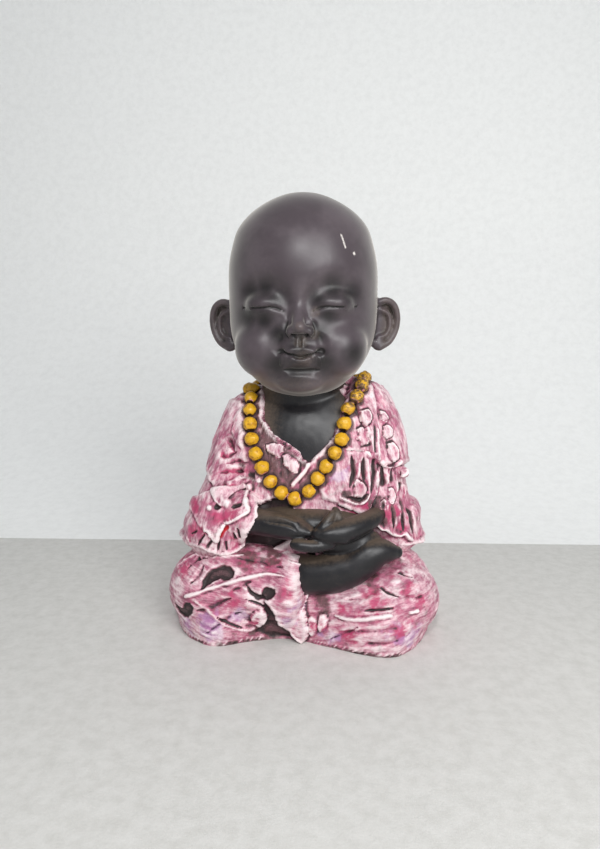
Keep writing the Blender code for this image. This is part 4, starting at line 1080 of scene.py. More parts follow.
    def carve_face(self, head: Carving) -> None:
        """Cuts the closed lids, the sockets, the nostrils and the smiling mouth, with painted shade in the
        lash lines, nostrils and mouth.
        """
        m = self.middle
        for s in (-1, 1):
            lid = [(s * x, self.eye_z + 2.4 + rise) for x, rise in self.lash_line]
            head.draw(lid, 3.4, 0.4)
            socket = [
                (s * 4.6, 144.5), (s * 3.9, 148.7), (s * 4.6, 152.6), (s * 7.6, 156.0), (s * 13.5, 157.6),
            ]
            head.draw([*socket, (s * 20.0, 156.2)], 4.8, -0.8, taper=0.4)
        high = head.points[:, 2]
        head.soften(3.0, ease((high - 144.0) / 4) * ease((164.0 - high) / 4) * (head.points[:, 1] < -15))
        head.refresh()
        for s in (-1, 1):
            lashes = [(s * x, self.eye_z + rise) for x, rise in self.lash_line]
            # painted shade in the lash line
            head.draw(lashes, 0.8, -1.5, taper=0.15, paint=Paint.DARK, coat=0.8)
            head.draw([(x, z - 1.7) for x, z in lashes[:4]], 1.3, 0.25)
            head.draw([(x * 0.94, z - 1.2) for x, z in lashes[1:]], 0.5, -0.4, taper=0.3)
            wing = [(4.9, 144.0), (6.0, 141.4), (6.3, 138.2), (4.8, 136.2)]
            head.draw([(m + s * x, z) for x, z in wing], 1.6, -0.8)
            # painted shade in the nostril
            head.draw([(m + s * 1.8, 137.3), (m + s * 3.8, 137.1)], 1.5, -2.2, taper=0.1, paint=Paint.DARK)
            head.draw([(m + s * x, z) for x, z in ((7.6, 138), (9.4, 133.5), (10, 129))], 3.2, -0.9)
            head.dab(m + s * 8.3, 130.6, 1.7, -1.3)
            head.draw([(m + s * 7.9, 128.6), (m + s * 8.3, 124.6)], 1.0, 0.7)
            head.draw([(m + s * 1.1, 136.2), (m + s * 1.2, 132.8)], 0.7, 0.8)
            head.dab(m + s * 3.7, 128.0, 1.1, 0.5)
        # painted shade in the mouth
        head.draw([(m + x, z) for x, z in self.smile], 1.0, -2.1, taper=0.1, paint=Paint.DARK)
        head.draw([(m, 136.4), (m, 132.8)], 0.6, -0.8)
        head.draw([(-6.5, 122.8), (m, 122.2), (8.5, 122.8)], 2.4, -1.3)
        head.draw([(-9, 118.6), (-3.4, 119.6), (2.5, 119.7), (9, 118.4)], 3.0, 0.6, taper=0.5)
        head.refresh()

    def wear(self, head: Carving) -> None:
        """Leaves the dust in the face, the pale scratches on the forehead, and painted shade in the
        sockets, round the nose and mouth and inside the ears.
        """
        head.weather(0.9, 2.4)
        head.paint[Paint.DUST][:] = 0
        head.draw([(17.0, 178.8), (19.2, 172.6)], 0.45, -0.1, taper=0.1, paint=Paint.CHIP)
        head.dab(22.6, 171.0, 0.65, -0.1, paint=Paint.CHIP)
        for x, z, radius in self.dusty_spots:
            head.dab(x, z, radius, 0.0, paint=Paint.DUST)
        # painted shade in the sockets and round the nose and mouth
        head.clouds(self.painted_shade_spots, Paint.DARK, coat=1.0, grow=1.5, ragged=0.15)
        ears = np.clip((np.abs(head.points[:, 0]) - 34.6) / 2.0, 0, 1) * (head.normals[:, 1] < 0.3)
        brown = np.where(head.points[:, 0] > 0, 0.4, 0.25)
        under = 0.3 * ease((124 - head.points[:, 2]) / 8)
        # painted shade inside the ears, off their raised rims
        head.paint[Paint.DARK] = np.maximum(
            head.paint[Paint.DARK], 0.3 * ears * (head.paint[Paint.RAISED] < 0.4),
        )
        head.paint[Paint.DUST] = np.maximum.reduce([0.4 * head.paint[Paint.DUST], ears * brown, under])

    def model(self) -> Carving:
        """Models and carves the head."""
        clay = Clay()
        self.broad_forms(clay)
        head = Carving(clay, self.voxel * 1.4)
        self.hollows(head)
        clay = Clay()
        clay.carved(head)
        self.nose_and_lips(clay)
        for side in Side:
            self.ear(clay, side)
        head = Carving(clay, self.voxel)
        head.soften(2.1, (np.abs(head.points[:, 0]) < 13) & (head.points[:, 1] < -28))
        self.carve_face(head)
        head.soften(0.7)
        lean = math.radians(self.lean)
        x, z = head.points[:, 0].copy(), head.points[:, 2] - self.chin_z
        head.points[:, 0] = x * math.cos(lean) - z * math.sin(lean)
        head.points[:, 2] = self.chin_z + x * math.sin(lean) + z * math.cos(lean)
        head.refresh()
        self.wear(head)
        return head

    def finish(self) -> bpy.types.Material:
        """The head's satin coat."""
        return SatinBlackResin("satin_black_resin_head").material()


@dataclass
class Robe(SubAssembly):
    """The wrapped robe with its sleeves, shawl, petals and hems."""

    name: str = "robe"
    voxel: float = 0.6
    sections: Path = (  # z, middle x, half width, front y, back y
        (30.0, 0, 49.0, -25.0, 37.0),
        (40.0, 0, 47.5, -25.5, 36.5),
        (50.0, 0, 46.0, -25.5, 35.5),
        (60.0, 0, 44.5, -25.0, 34.5),
        (70.0, 0.3, 43.0, -25.0, 33.5),
        (80.0, 0.8, 41.0, -24.5, 32.5),
        (90.0, 1.2, 38.5, -23.0, 31.0),
        (98.0, 1.8, 35.5, -20.5, 29.0),
        (104.0, 2.4, 32.0, -17.5, 26.5),
        (109.0, 3.0, 28.0, -14.5, 23.5),
        (113.0, 3.0, 23.5, -11.5, 20.0),
        (116.5, 3.0, 17.0, -7.0, 15.0),
    )
    sleeves: Sequence[Path] = (  # x, y, z, half width, half depth, from the shoulder down
        (
            (-26, 3, 99, 11, 13), (-31, 1, 84, 12, 15), (-33.5, -5, 68, 13, 17), (-36, -11, 55, 15.5, 18),
            (-38.5, -13, 46, 17, 17.5),
        ),
        (
            (30, 4, 103, 10, 12), (35, 2, 88, 11.5, 14), (36.5, -1, 70, 12, 15.5), (38.5, -3, 56, 13, 15),
            (42, -4, 46, 14.5, 14),
        ),
    )
    mouths: Sequence[Path] = (
        ((-37, -10, 52, 14, 14), (-29, -19, 54, 11.5, 12.5), (-21, -24.5, 55, 9.6, 10.6)),
        ((41, -3, 57, 11, 12), (38, -11, 55, 10, 11.5), (36, -17, 54.2, 8.6, 10)),
    )
    chest_sunk: float = 3.4  # from the lapels down to the bare chest
    neck_opening: Path = (
        (-20.0, 120), (-18.6, 104.7), (-18.2, 100.1), (-14.6, 93.8), (-9.7, 89.7), (-4.2, 86.1),
        (1.2, 81.8),
        (3.5, 80.6), (8.4, 84.9), (13.8, 90.5), (16.9, 97.8), (19.0, 105.9), (22.4, 114.0), (23.0, 120),
    )
    right_lapel: Path = (
        (-19.2, 108), (-18.6, 101.1), (-15.2, 94.4), (-10.3, 90.3), (-4.8, 86.7), (0.8, 82.0), (3.2, 80.4),
    )
    left_lapel: Path = ((5.4, 81.6), (9.4, 85.3), (14.6, 90.8), (17.8, 98.0), (20.0, 106))
    petals: Sequence[Path] = (  # corners x, z
        ((-15.8, 88.1), (-11.6, 89.1), (-7.6, 87.2), (-9.3, 82.9), (-12.4, 84.2), (-14.9, 85.4)),
        ((-8.2, 83.8), (-5.7, 84.3), (-0.9, 80.1), (-1.4, 76.4), (-3.8, 76.7), (-7.3, 79.5)),
        ((26.2, 103.3), (30.0, 103.9), (31.7, 100.8), (30.7, 97.9), (28.5, 96.7), (26.5, 98.9)),
        (
            (25.0, 95.3), (27.1, 96.2), (28.6, 94.7), (30.5, 92.7), (30.0, 88.7), (27.0, 88.2),
            (26.2, 90.5), (24.8, 91.4), (26.1, 93.0),
        ),
        ((35.8, 102.6), (37.7, 101.9), (39.4, 99.2), (38.2, 97.5), (36.3, 98.9)),
        ((37.1, 95.6), (39.1, 96.2), (41.1, 94.2), (40.9, 91.3), (38.7, 90.3), (36.9, 92.2)),
        ((39.0, 88.1), (41.4, 88.6), (44.0, 85.2), (44.3, 81.0), (42.0, 79.7), (39.7, 82.6)),
        ((25.2, 73.3), (28.4, 71.1), (29.8, 67.9), (27.5, 64.8), (24.4, 65.6), (24.0, 69.6)),
        ((39.8, 67.6), (41.7, 67.7), (43.0, 63.5), (41.6, 61.3), (40.0, 62.5)),
        ((36.2, 62.5), (37.8, 63.5), (38.6, 60.5), (37.2, 57.8), (36.0, 59.5)),
        ((-20.5, 77.5), (-17.0, 76.5), (-18.2, 71.5), (-20.6, 73.5)),
    )
    sleeve_bulge: Path = (
        (-50, 106), (-28, 106), (-25.5, 86), (-24, 72), (-27, 66), (-34, 61.3), (-37, 64), (-40, 69.3),
        (-45, 74),
        (-52, 80),
    )
    elbow_fold: Path = ((-46, 76), (-43, 72), (-40.2, 69.0), (-37, 64), (-34.1, 62.0))
    sleeve_creases: Sequence[Path] = (
        ((-37, 75.2), (-31, 76.2), (-25.5, 75.4)), ((-37, 71.0), (-31, 71.4), (-24.6, 72.4)),
        ((-34, 79.2), (-29, 80.2), (-25, 79.6)), ((-40, 88), (-36, 82), (-30, 84)),
        ((-36, 98), (-34, 90), (-31, 84)),
    )
    leaf_fold: Path = ((-27.5, 105.5), (-25.6, 95), (-26.2, 85), (-30.0, 88), (-32.8, 92.3), (-31.5, 99))
    ribbon: Path = (  # the white edge that zigzags down the sleeve's mouth
        (-23.6, 68.8), (-24.2, 66.2), (-24.0, 64.0), (-22.8, 61.6), (-23.4, 60.0), (-26.2, 58.3),
        (-30.1, 56.0), (-33.1, 54.7),
        (-34.9, 51.7), (-36.2, 48.9), (-37.2, 46.2), (-39.0, 48.1), (-41.1, 50.9), (-44.0, 51.2),
    )
    red_gap: Path = ((-31.4, 53.3), (-34.3, 50.4), (-36.0, 47.0))
    inner_hem: Path = (
        (-12.9, 63.8), (-17.1, 61.6), (-19.5, 62.0), (-20.0, 60.2), (-19.4, 56.8), (-21.7, 53.3),
        (-23.8, 50.2), (-24.7, 44.6),
    )
    fan_hem: Path = (
        (-24.7, 44.6), (-28.2, 41.4), (-32.0, 39.8), (-36.0, 39.6), (-38.6, 40.6), (-41.6, 41.6),
        (-44.8, 43.0), (-49.7, 42.6),
        (-52.0, 44.0),
    )
    fan_pleats: Sequence[Path] = (
        ((-27.6, 52.5), (-26.4, 44.8)), ((-29.6, 49.5), (-28.4, 42.8)), ((-33.0, 46.0), (-32.8, 40.8)),
        ((-35.6, 46.4), (-37.2, 40.8)),
        ((-39.0, 46.8), (-42.0, 42.2)), ((-43.0, 48.6), (-46.1, 43.4)), ((-43.5, 52.0), (-50.0, 47.5)),
    )
    flap: Path = (
        (23, 116), (31, 113), (33.3, 104), (33.9, 92), (33.4, 83.6), (31.6, 83.6), (27.2, 86.2),
        (20.1, 86.6),
        (18.6, 90), (20.0, 98), (21.6, 105),
    )
    flap_hem: Path = ((18.0, 87.0), (22.8, 86.6), (27.3, 85.6), (32.1, 82.6))
    shawl: Path = (  # degrees from the front, z
        (62, 119), (60, 104), (60.5, 92), (62, 81.2), (68, 78.6), (76, 77.8), (90, 78.2), (105, 75),
        (125, 70),
        (150, 64), (180, 58), (210, 54), (236, 55), (248, 62), (250, 72), (240, 84), (215, 94), (185, 101),
        (160, 107), (130, 114), (95, 119),
    )
    shawl_hem: Path = (
        (76, 77.8), (90, 78.2), (105, 75), (125, 70), (150, 64), (180, 58), (210, 54), (236, 55), (248, 62),
    )
    shawl_top: Path = ((250, 72), (240, 84), (215, 94), (185, 101), (160, 107), (130, 114))
    shawl_folds: Sequence[Path] = (
        ((88, 106), (105, 96), (135, 84), (170, 74), (205, 66), (238, 64)),
        ((92, 94), (112, 84), (142, 74), (180, 65), (215, 60)),
        ((120, 108), (150, 96), (185, 87), (215, 79), (242, 74)),
    )
    cape_hem: Path = ((35.0, 82.0), (37.4, 78.5), (41.2, 77.0), (46.0, 79.5), (47.8, 75.0), (45.0, 73.4))
    front: Path = (
        (16, 87), (33.1, 83.7), (34.2, 71.3), (33.0, 63.5), (31.0, 59.6), (27.6, 57.6), (23.0, 59.4),
        (16.0, 62.6), (10, 65),
        (8, 70), (13, 80),
    )
    front_hem: Path = (
        (33.4, 82.0), (34.2, 71.3), (33.0, 63.5), (31.0, 59.6), (27.6, 57.8), (23.0, 59.6), (15.9, 62.9),
    )
    second_hem: Path = ((31.2, 66.5), (29.4, 63.2), (26.4, 61.8), (21.3, 63.6), (17.5, 65.6))
    lilac_panel: Path = (
        (11.8, 72.5), (13.1, 79.6), (20.1, 83.0), (24.0, 80.1), (22.9, 72.1), (17.6, 67.5), (12.3, 66.2),
    )
    ridges: Sequence[Path] = (
        ((26.4, 81.6), (25.6, 75.1), (24.0, 70.5)), ((29.8, 81.5), (30.2, 75.0), (30.6, 68.5)),
        ((-8.8, 90.0), (0.6, 83.0)),
        ((38.9, 76.5), (39.2, 70.2), (39.4, 58.5)), ((43.2, 75.7), (43.6, 68.8), (44.8, 56.0)),
        ((46.6, 72.5), (47.8, 64.0), (49.5, 52.0)),
    )
    folds: Sequence[Path] = (
        ((28.2, 83.0), (27.9, 77.0), (28.6, 72.0)), ((32.2, 82.0), (32.6, 76.0), (32.0, 66.0)),
        ((22.6, 84.0), (23.6, 76.0), (22.0, 70.0)),
        ((30.6, 66.0), (26.5, 63.4), (21.0, 65.4)), ((36.6, 78.0), (37.0, 68.0), (37.2, 55.5)),
        ((41.0, 76.5), (41.4, 68.0), (42.4, 50.0)),
        ((45.0, 75.0), (45.7, 66.0), (47.0, 48.0)), ((48.6, 62.0), (51.5, 46.0)),
    )
    left_sleeve_hem: Path = (
        (34.4, 57.0), (35.0, 52.9), (37.0, 50.1), (39.4, 49.8), (41.4, 47.5), (45.2, 45.8), (47.4, 46.4),
        (49.9, 43.8), (54.5, 41.0), (57, 42),
    )
    back_folds: Sequence[Path] = (
        ((112, 68), (118, 44)), ((130, 64), (136, 42)), ((150, 58), (154, 42)), ((171, 54), (172, 42)),
        ((192, 52), (190, 42)), ((212, 49), (208, 42)), ((232, 49), (228, 43)), ((210, 106), (222, 92)),
        ((230, 104), (240, 88)),
    )
    collar: Path = ((100, 112), (140, 108), (180, 106), (220, 108), (260, 112))
    back_hem: Path = ((70, 41), (100, 42), (140, 39), (180, 38), (220, 39), (262, 42), (292, 44))
    tie: Path = ((3.8, 80.4), (1.2, 76.1), (-4.2, 70.0))
    nubs: Path = ((-32.1, 63.0, 1.9), (-40.2, 60.9, 1.5), (-23.6, 69.0, 1.5))  # x, z, radius
    dirt_and_shade: Path = ((36, 53, 7), (33, 60, 5), (-20, 72, 6), (-26, 78, 4), (20, 66, 4))  # x, z, radius of dirt and painted shade
    hot_spots: Path = (
        (-22, 86, 4), (-24, 77, 3), (-29, 60, 4), (-33, 57, 3), (25, 58.5, 3), (23.5, 77, 2.6),
        (28.5, 76, 2), (39, 72, 3),
        (-47, 50, 4), (-38, 58, 4), (-30, 49, 3), (-49, 60, 3), (12, 78, 4), (42, 58, 4), (47, 50, 4),
        (30, 60, 3),
    )

    def forms(self, clay: Clay) -> None:
        """Adds the wrapped body, both sleeves and their flared lower ends."""
        clay.loft(self.sections, power=2.3)
        for sleeve in self.sleeves:
            clay.limb(sleeve, up=(0, 1, 0.01))
        for mouth in self.mouths:
            clay.limb(mouth, bluntness=0.5)
        clay.ball((-45.0, -13, 49), (9.5, 14, 10), (0, -24, 0))
        clay.ball((-50.5, -10, 43), (7.0, 12, 8), (0, -36, 0))
        clay.ball((48.0, -2, 50), (7.5, 13, 11), (0, 24, 0))
        clay.ball((51.5, -1, 43), (6.0, 12, 6.5), (0, 30, 0))
        clay.ball((-47.0, -22.0, 52.5), (3.6, 5.0, 3.4), (0, -30, 0))
        clay.ball((-51.5, -19.0, 43.5), (4.4, 6.0, 3.6), (0, -20, 0))
        clay.ball((46.5, -12.5, 74.5), (3.2, 3.4, 2.6), (0, 30, 0))
        clay.ball((0, 12, 44), (46, 26, 10))

    def layers(self, robe: Carving) -> None:
        """Lays the cloth in layers: lapels, sleeve ends, flap, front and shawl."""
        fan_back = [(-56, 52), (-52, 60), (-40, 67), (-27, 74), (-16, 72)]
        inside = [(-26, 40), (-14, 40), (-4, 46), (-4, 64)]
        robe.panel(self.neck_opening, -self.chest_sunk, 1.0)
        # the inside of the sleeve's mouth, sunk and painted with shade
        robe.panel([*self.inner_hem, *inside], -3.0, 1.2, paint=Paint.DARK)
        robe.panel([*self.inner_hem, *self.fan_hem, *fan_back], 1.4, 1.0)
        robe.panel([*self.ribbon, (-52, 60), (-42, 66), (-32, 70)], 1.4, 0.7)
        robe.panel(self.sleeve_bulge, 1.8, 2.0)
        robe.panel(self.flap, 1.5, 0.8)
        robe.panel(self.front, 1.4, 0.8)
        robe.panel(self.shawl, 2.2, 1.2, turned=True)
        robe.refresh()
        robe.panel(self.leaf_fold, 1.1, 1.0)
        robe.panel(self.lilac_panel, 0.3, 1.5)
        robe.cloud(17.6, 75.5, 8.0, Paint.VIOLET)
        lapel = [*self.right_lapel[1:], (-4.4, 69.8), (-9.4, 72), (-14.2, 77), (-17.6, 83), (-20, 90)]
        robe.panel(lapel, 0.0, 3.0, paint=Paint.DARK, coat=0.5)
        robe.clouds(self.hot_spots, Paint.PINK, grow=1.6)
        # dirt and painted shade
        robe.clouds(self.dirt_and_shade, Paint.DARK, coat=0.7)
        robe.refresh()
        self.scatter(robe)

    def scatter(self, robe: Carving) -> None:
        """Lays the petals, each in a hollow painted with shade, with a pale face and a white rim."""
        for corners in self.petals:
            petal = np.array(corners)
            wider = petal + (petal - petal.mean(axis=0)) * 0.2
            # painted shade round each petal
            robe.panel(wider, -0.5, 1.2, paint=Paint.DARK, coat=0.8)
            robe.panel(petal, 1.4, 0.7, paint=Paint.PINK, coat=0.2)
        robe.refresh()
        for corners in self.petals:
            petal = np.array([*corners, corners[0]])
            rim = robe.front(petal * 0.93 + petal[:-1].mean(axis=0) * 0.07)
            robe.stroke(rim, 0.75, 0.35, taper=0, paint=Paint.WHITE, coat=0.75)

    def edges(self, robe: Carving) -> None:
        """Raises the hems and lapels, whose crests the dry brush has caught, with painted shade beside the
        ribbon and the tie.
        """
        crests = (
            (self.right_lapel, 1.2, 1.4), (self.left_lapel, 1.1, 1.0), (self.elbow_fold, 1.5, 1.1),
            (self.inner_hem, 0.9, 1.2),
            (self.fan_hem, 1.1, 1.2), (self.flap_hem, 1.2, 1.4), (self.cape_hem, 1.2, 1.5),
            (self.front_hem, 1.1, 1.4),
            (self.second_hem, 1.0, 1.0), (self.left_sleeve_hem, 1.4, 1.6),
            (((33.6, 106), (34.3, 92), (35.0, 82)), 1.0, 0.9),
        )
        for path, width, height in crests:
            robe.crest(robe.front(path), width, height, 0.7, 0.7, flat=0.15, taper=0.08)
        for path in self.ridges:
            robe.crest(robe.front(path), 1.0, 0.9, 0.8, 0.45)
        for path, width, height in ((self.ribbon, 1.3, 1.8), (self.tie, 1.2, 1.6)):
            laid = robe.front(path)
            # painted shade beside the raised ribbon and tie
            robe.stroke(laid, width * 1.5, -0.5, paint=Paint.DARK, coat=0.7)
            robe.stroke(laid, width, height, flat=0.4, taper=0.05, paint=Paint.WHITE, coat=1.0)
        robe.draw(self.red_gap, 1.3, -0.5, flat=0.5, taper=0.2, paint=Paint.RED)
        for x, z, radius in self.nubs:
            robe.dab(x, z, radius, 1.5, paint=Paint.WHITE, coat=0.45)
        for path, height in (
            (self.shawl_hem, 1.3), (self.shawl_top, 1.1), (self.collar, 1.2), (self.back_hem, 1.5),
        ):
            robe.crest(robe.around(path), 1.6, height, 0.625, 0.5, flat=0.2, taper=0.05)

    def cuts(self, robe: Carving) -> None:
        """Sinks the pleats, creases and folds, with painted shade in the pleats, the folds and a few
        grooves.
        """
        for path in self.fan_pleats:
            # painted shade in the pleat
            robe.draw(path, 0.9, -1.7, paint=Paint.DARK, coat=0.8)
        for path in self.sleeve_creases:
            robe.draw(path, 1.8, -1.2, paint=Paint.PINK, coat=0.8)
        for path in self.folds:
            robe.draw(path, 1.5, -1.5)
            # painted shade in the fold
            robe.draw(path, 1.8, flat=0.3, paint=Paint.DARK, coat=0.7)
        # painted shade in the groove beside the flap and in the gaps by the right sleeve
        robe.draw([(33.0, 103), (33.2, 92), (33.4, 84)], 0.9, -1.0, paint=Paint.DARK, coat=0.7)
        robe.draw([(-38.5, 61.6), (-35.5, 61.2)], 1.6, -1.6, paint=Paint.DARK)
        robe.draw([(-30.0, 62.0), (-25.6, 63.6)], 1.6, -1.2, paint=Paint.DARK)
        for path in self.back_folds:
            robe.draw_round(path, 2.8, -1.5)
        for path in self.shawl_folds:
            robe.draw_round(path, 3.4, -1.7)

    def brushed(self, points: np.ndarray) -> np.ndarray:
        """The brush ran down the body and along the slanting sleeves."""
        slant = 0.24 * np.clip(np.abs(points[:, 0]) / 30, 0, 1) * np.sign(points[:, 0])
        return np.stack(
            [points[:, 0] + slant * (points[:, 2] - 90), points[:, 1], points[:, 2] / 4], axis=1,
        )

    def model(self) -> Carving:
        """Models and carves the robe."""
        clay = Clay()
        self.forms(clay)
        robe = Carving(clay, self.voxel)
        robe.soften(1.8)
        self.layers(robe)
        self.edges(robe)
        self.cuts(robe)
        robe.relax(2)
        robe.refresh()
        robe.roughen(0.32, 1.5, 1, self.brushed(robe.points))
        robe.roughen(0.14, 1.3, 2)
        robe.weather()
        return robe

    def finish(self) -> bpy.types.Material:
        """The robe's dry-brushed cloth, brushed downwards."""
        return DryBrushedCloth("dry_brushed_resin_robe").material()


@dataclass
class Trousers(SubAssembly):
    """The wide trousers over crossed legs, with veins, cut hooks and the pointed cuff."""

    name: str = "trousers"
    voxel: float = 0.6
    base_outline: Path = (
        (-57.7, -21.8), (-51.3, -32.3), (-41.7, -39.3), (-34.6, -40.0), (-25.0, -35.7), (-15.0, -32.5),
        (-6.8, -31.2),
        (1.6, -33.0), (6.7, -34.9), (17.1, -38.7), (29.1, -43.5), (40.9, -45.0), (49.6, -38.1),
        (57.7, -22.3),
        (59.5, -8), (56, 12), (46, 27), (28, 36), (0, 40), (-28, 36), (-46, 27), (-56, 12), (-59.5, -8),
    )
    base_rows: Path = ((-4, -1.6), (0, -0.5), (3, 0.5), (7, 1.2), (11, 0.8), (16, -1.5), (21, -6))
    right_vein: Path = (
        (-60, 18.4), (-57.0, 19.3), (-44.7, 23.8), (-33.5, 28.0), (-24.1, 30.8), (-13.7, 32.9),
        (-5.0, 33.0),
    )
    left_vein: Path = ((15.5, 15.6), (20.9, 14.9), (26.9, 15.8), (34.7, 17.6), (46.9, 18.6), (58, 19))
    hooks: Sequence[Path] = (  # outlines of the cut-out hooks
        (
            (-43.4, 25.3), (-43.3, 28.3), (-41.6, 31.4), (-39.6, 33.3), (-37.2, 34.3), (-33.9, 35.3),
            (-31.0, 34.9), (-29.0, 33.3),
            (-29.0, 31.1), (-31.0, 29.9), (-33.5, 29.6), (-35.2, 30.5), (-36.6, 29.9), (-38.8, 28.6),
            (-40.8, 26.8),
        ),
        (
            (-23.2, 28.3), (-21.9, 27.5), (-19.8, 25.2), (-17.6, 24.2), (-16.4, 24.9), (-15.8, 27.0),
            (-14.4, 28.3), (-12.3, 28.2),
            (-10.4, 27.7), (-10.1, 25.9), (-11.7, 23.9), (-14.5, 22.5), (-18.1, 21.5), (-20.7, 23.7),
            (-22.3, 25.9),
        ),
        (
            (-57.5, 16.9), (-56.3, 15.4), (-53.9, 14.5), (-53.1, 14.3), (-52.7, 16.3), (-51.2, 18.2),
            (-49.1, 18.7), (-47.5, 17.2),
            (-48.2, 13.7), (-50.6, 10.5), (-53.2, 9.6), (-55.9, 10.1), (-57.3, 12.8),
        ),
    )
    slits: Sequence[Path] = (
        ((-23.0, 21.9), (-18.1, 19.8), (-14.0, 17.8)), ((-36.3, 13.8), (-30.8, 10.2), (-24.9, 7.0)),
        ((28.9, 19.6), (35.4, 20.6), (41.1, 20.6)),
        ((34.3, 29.0), (39.1, 26.4), (44.3, 24.4)), ((42.4, 33.4), (46.7, 31.4), (50.4, 30.4)),
        ((-52, 31), (-48.5, 35), (-42.5, 36.4)),
    )
    creases: Sequence[Path] = (
        ((-46, 15), (-38, 18), (-30, 22)), ((-41, 6), (-34, 11), (-26, 15)),
        ((-49, 27), (-46, 30), (-44, 34)),
        ((-28, 38), (-18, 37.4), (-7, 36)), ((-30, 25), (-26, 27), (-21, 30)),
        ((20, 22), (30, 25), (38, 31.5)),
        ((47, 25), (53, 24), (58, 25)), ((16, 10), (30, 11), (42, 13.5), (54, 15)),
        ((22, 5), (38, 6.5), (50, 9.5)),
        ((14, 4), (20, 8), (26, 12.5)), ((28, 34), (34, 37), (40, 39)),
    )
    top_rim: Path = ((-58.6, 29.4), (-51.8, 34.3), (-44.0, 37.2), (-33.5, 37.8), (-25.5, 38.8))
    cuff: Path = (  # the pointed end of the wrapped cloth, which hangs over the shins
        (-15.2, 22.4), (-11.4, 18.7), (-8.5, 11.6), (-3.4, 4.4), (1.4, 0.6), (3.6, 2.2), (4.2, 8.0),
        (2.1, 15.8), (2.6, 19.4),
        (3.7, 25.6), (2.8, 31.6), (0.4, 36.5), (-6, 40), (-14, 38), (-22, 34), (-20, 28),
    )
    cuff_edge: Path = (
        (-6, 38.6), (0.2, 36.0), (2.6, 31.6), (3.5, 25.6), (2.4, 19.4), (1.9, 15.8), (4.0, 8.0), (3.2, 1.8),
    )
    cuff_point: Path = ((3.2, 1.8), (1.2, 0.8), (-3.4, 4.6), (-8.5, 11.8), (-12.6, 19.6))
    under_cuff: Path = (
        (-14.8, 21.0), (-8.9, 10.6), (-3.6, 3.4), (1.4, 0.0), (-12.6, 0.1), (-19.5, 4.6), (-15.5, 9.0),
        (-15.8, 15.5),
    )
    lobe_edge: Path = (
        (-45.8, 20.0), (-38.3, 14.9), (-30.6, 9.4), (-24.0, 6.4), (-19.8, 7.2), (-15.2, 12.5),
        (-16.5, 17.0),
    )
    petals: Sequence[Path] = (
        ((4.5, 11.8), (6.1, 13.4), (8.2, 11.6), (8.0, 7.5), (6.3, 4.3), (4.7, 6.0)),
        ((9.5, 14.4), (11.7, 15.2), (13.0, 13.1), (12.2, 9.8), (9.7, 6.9), (8.6, 9.4)),
        ((-21.4, 9.0), (-21.4, 13.0), (-18.9, 16.5), (-15.5, 16.6), (-13.9, 13.9), (-17.5, 9.4)),
    )
    hot_spots: Path = (
        (-54, 31, 3.4), (-20, 10.5, 2.6), (-15, 5.5, 3.0), (7, 8.5, 3.0), (11, 9, 2.6), (-23, 36, 4),
        (-12, 36, 3), (48, 27, 3), (52, 21, 3), (20, 18, 3),
        (-30, 20, 4), (-40, 12, 4), (22, 8, 5), (34, 24, 5), (44, 12, 4), (-7, 26, 4),
    )
    # x, z, radius of dirt and painted shade, with shade below the foot
    dirt_and_shade: Path = ((-14, 40, 8), (-25, 38, 7), (42, 38, 7), (32, 31, 5), (9, 20, 7), (6, 26, 5), (-20, 6, 6))
    lilac_spots: Path = (
        (-4, 12, 7), (-2, 19, 5), (-38, 9, 7), (-50, 7, 5), (14, 5, 5), (47, 8, 6), (-27, 14, 5),
        (40, 12, 4),
    )
    seat_folds: Sequence[float] = (112, 128, 146, 165, 195, 214, 232, 248)  # degrees from the front

    def forms(self, clay: Clay) -> None:
        """Adds the seat, thighs, knees and crossed shins, and the foot they rest on."""
        clay.ball((0, 14, 21), (50, 25, 21))
        clay.ball((0, -6, 24), (34, 22, 16))
        for s in (-1, 1):
            clay.limb([(s * 20, 12, 24, 19, 18), (s * 34, 2, 22, 20, 19), (s * 43, -8, 19, 19, 18)])
        clay.ball((-42.5, -15.5, 18.5), (20.6, 23.0, 19.0))
        clay.ball((43.5, -17.5, 16.5), (20.6, 22.6, 17.5))
        shin = [
            (-46, -19, 20, 16, 16), (-34, -21, 22, 17, 18), (-19, -21.5, 22.5, 17.5, 19),
            (-3.5, -23.5, 22, 16, 17.5),
        ]
        clay.limb(shin, bluntness=0.3)
        clay.limb(
            [
                (46, -22, 16, 16, 15), (34, -25.5, 15.5, 17, 15), (20, -24.5, 13.5, 14, 13),
                (6, -21, 12, 12, 12),
            ]
        )
        clay.skirt(self.base_outline, self.base_rows)

    def brushed(self, points: np.ndarray) -> np.ndarray:
        """The brush ran outwards and a little upwards along each leg."""
        rise = points[:, 2] - 0.22 * np.abs(points[:, 0])
        return np.stack([points[:, 0] / 4, points[:, 1] / 4, rise * 1.05], axis=1)

    def overhangs(self, legs: Carving) -> None:
        """Raises the pointed cuff over the hollow below it, which is painted with shade, and the petals."""
        # painted shade in the hollow under the cuff
        legs.panel(self.under_cuff, -1.6, 1.6, paint=Paint.DARK, coat=0.6)
        legs.panel(self.cuff, 2.8, 0.7, fade=(-20, 30, -8, 22))
        legs.refresh()
        for corners in self.petals:
            legs.panel(corners, 1.8, 0.8, paint=Paint.WHITE, coat=0.4)
        legs.refresh()
        legs.clouds(self.lilac_spots, Paint.VIOLET, grow=1.4)
        legs.clouds(self.hot_spots, Paint.PINK, grow=1.6)
        # dirt and painted shade
        legs.clouds(self.dirt_and_shade, Paint.DARK, coat=0.5)

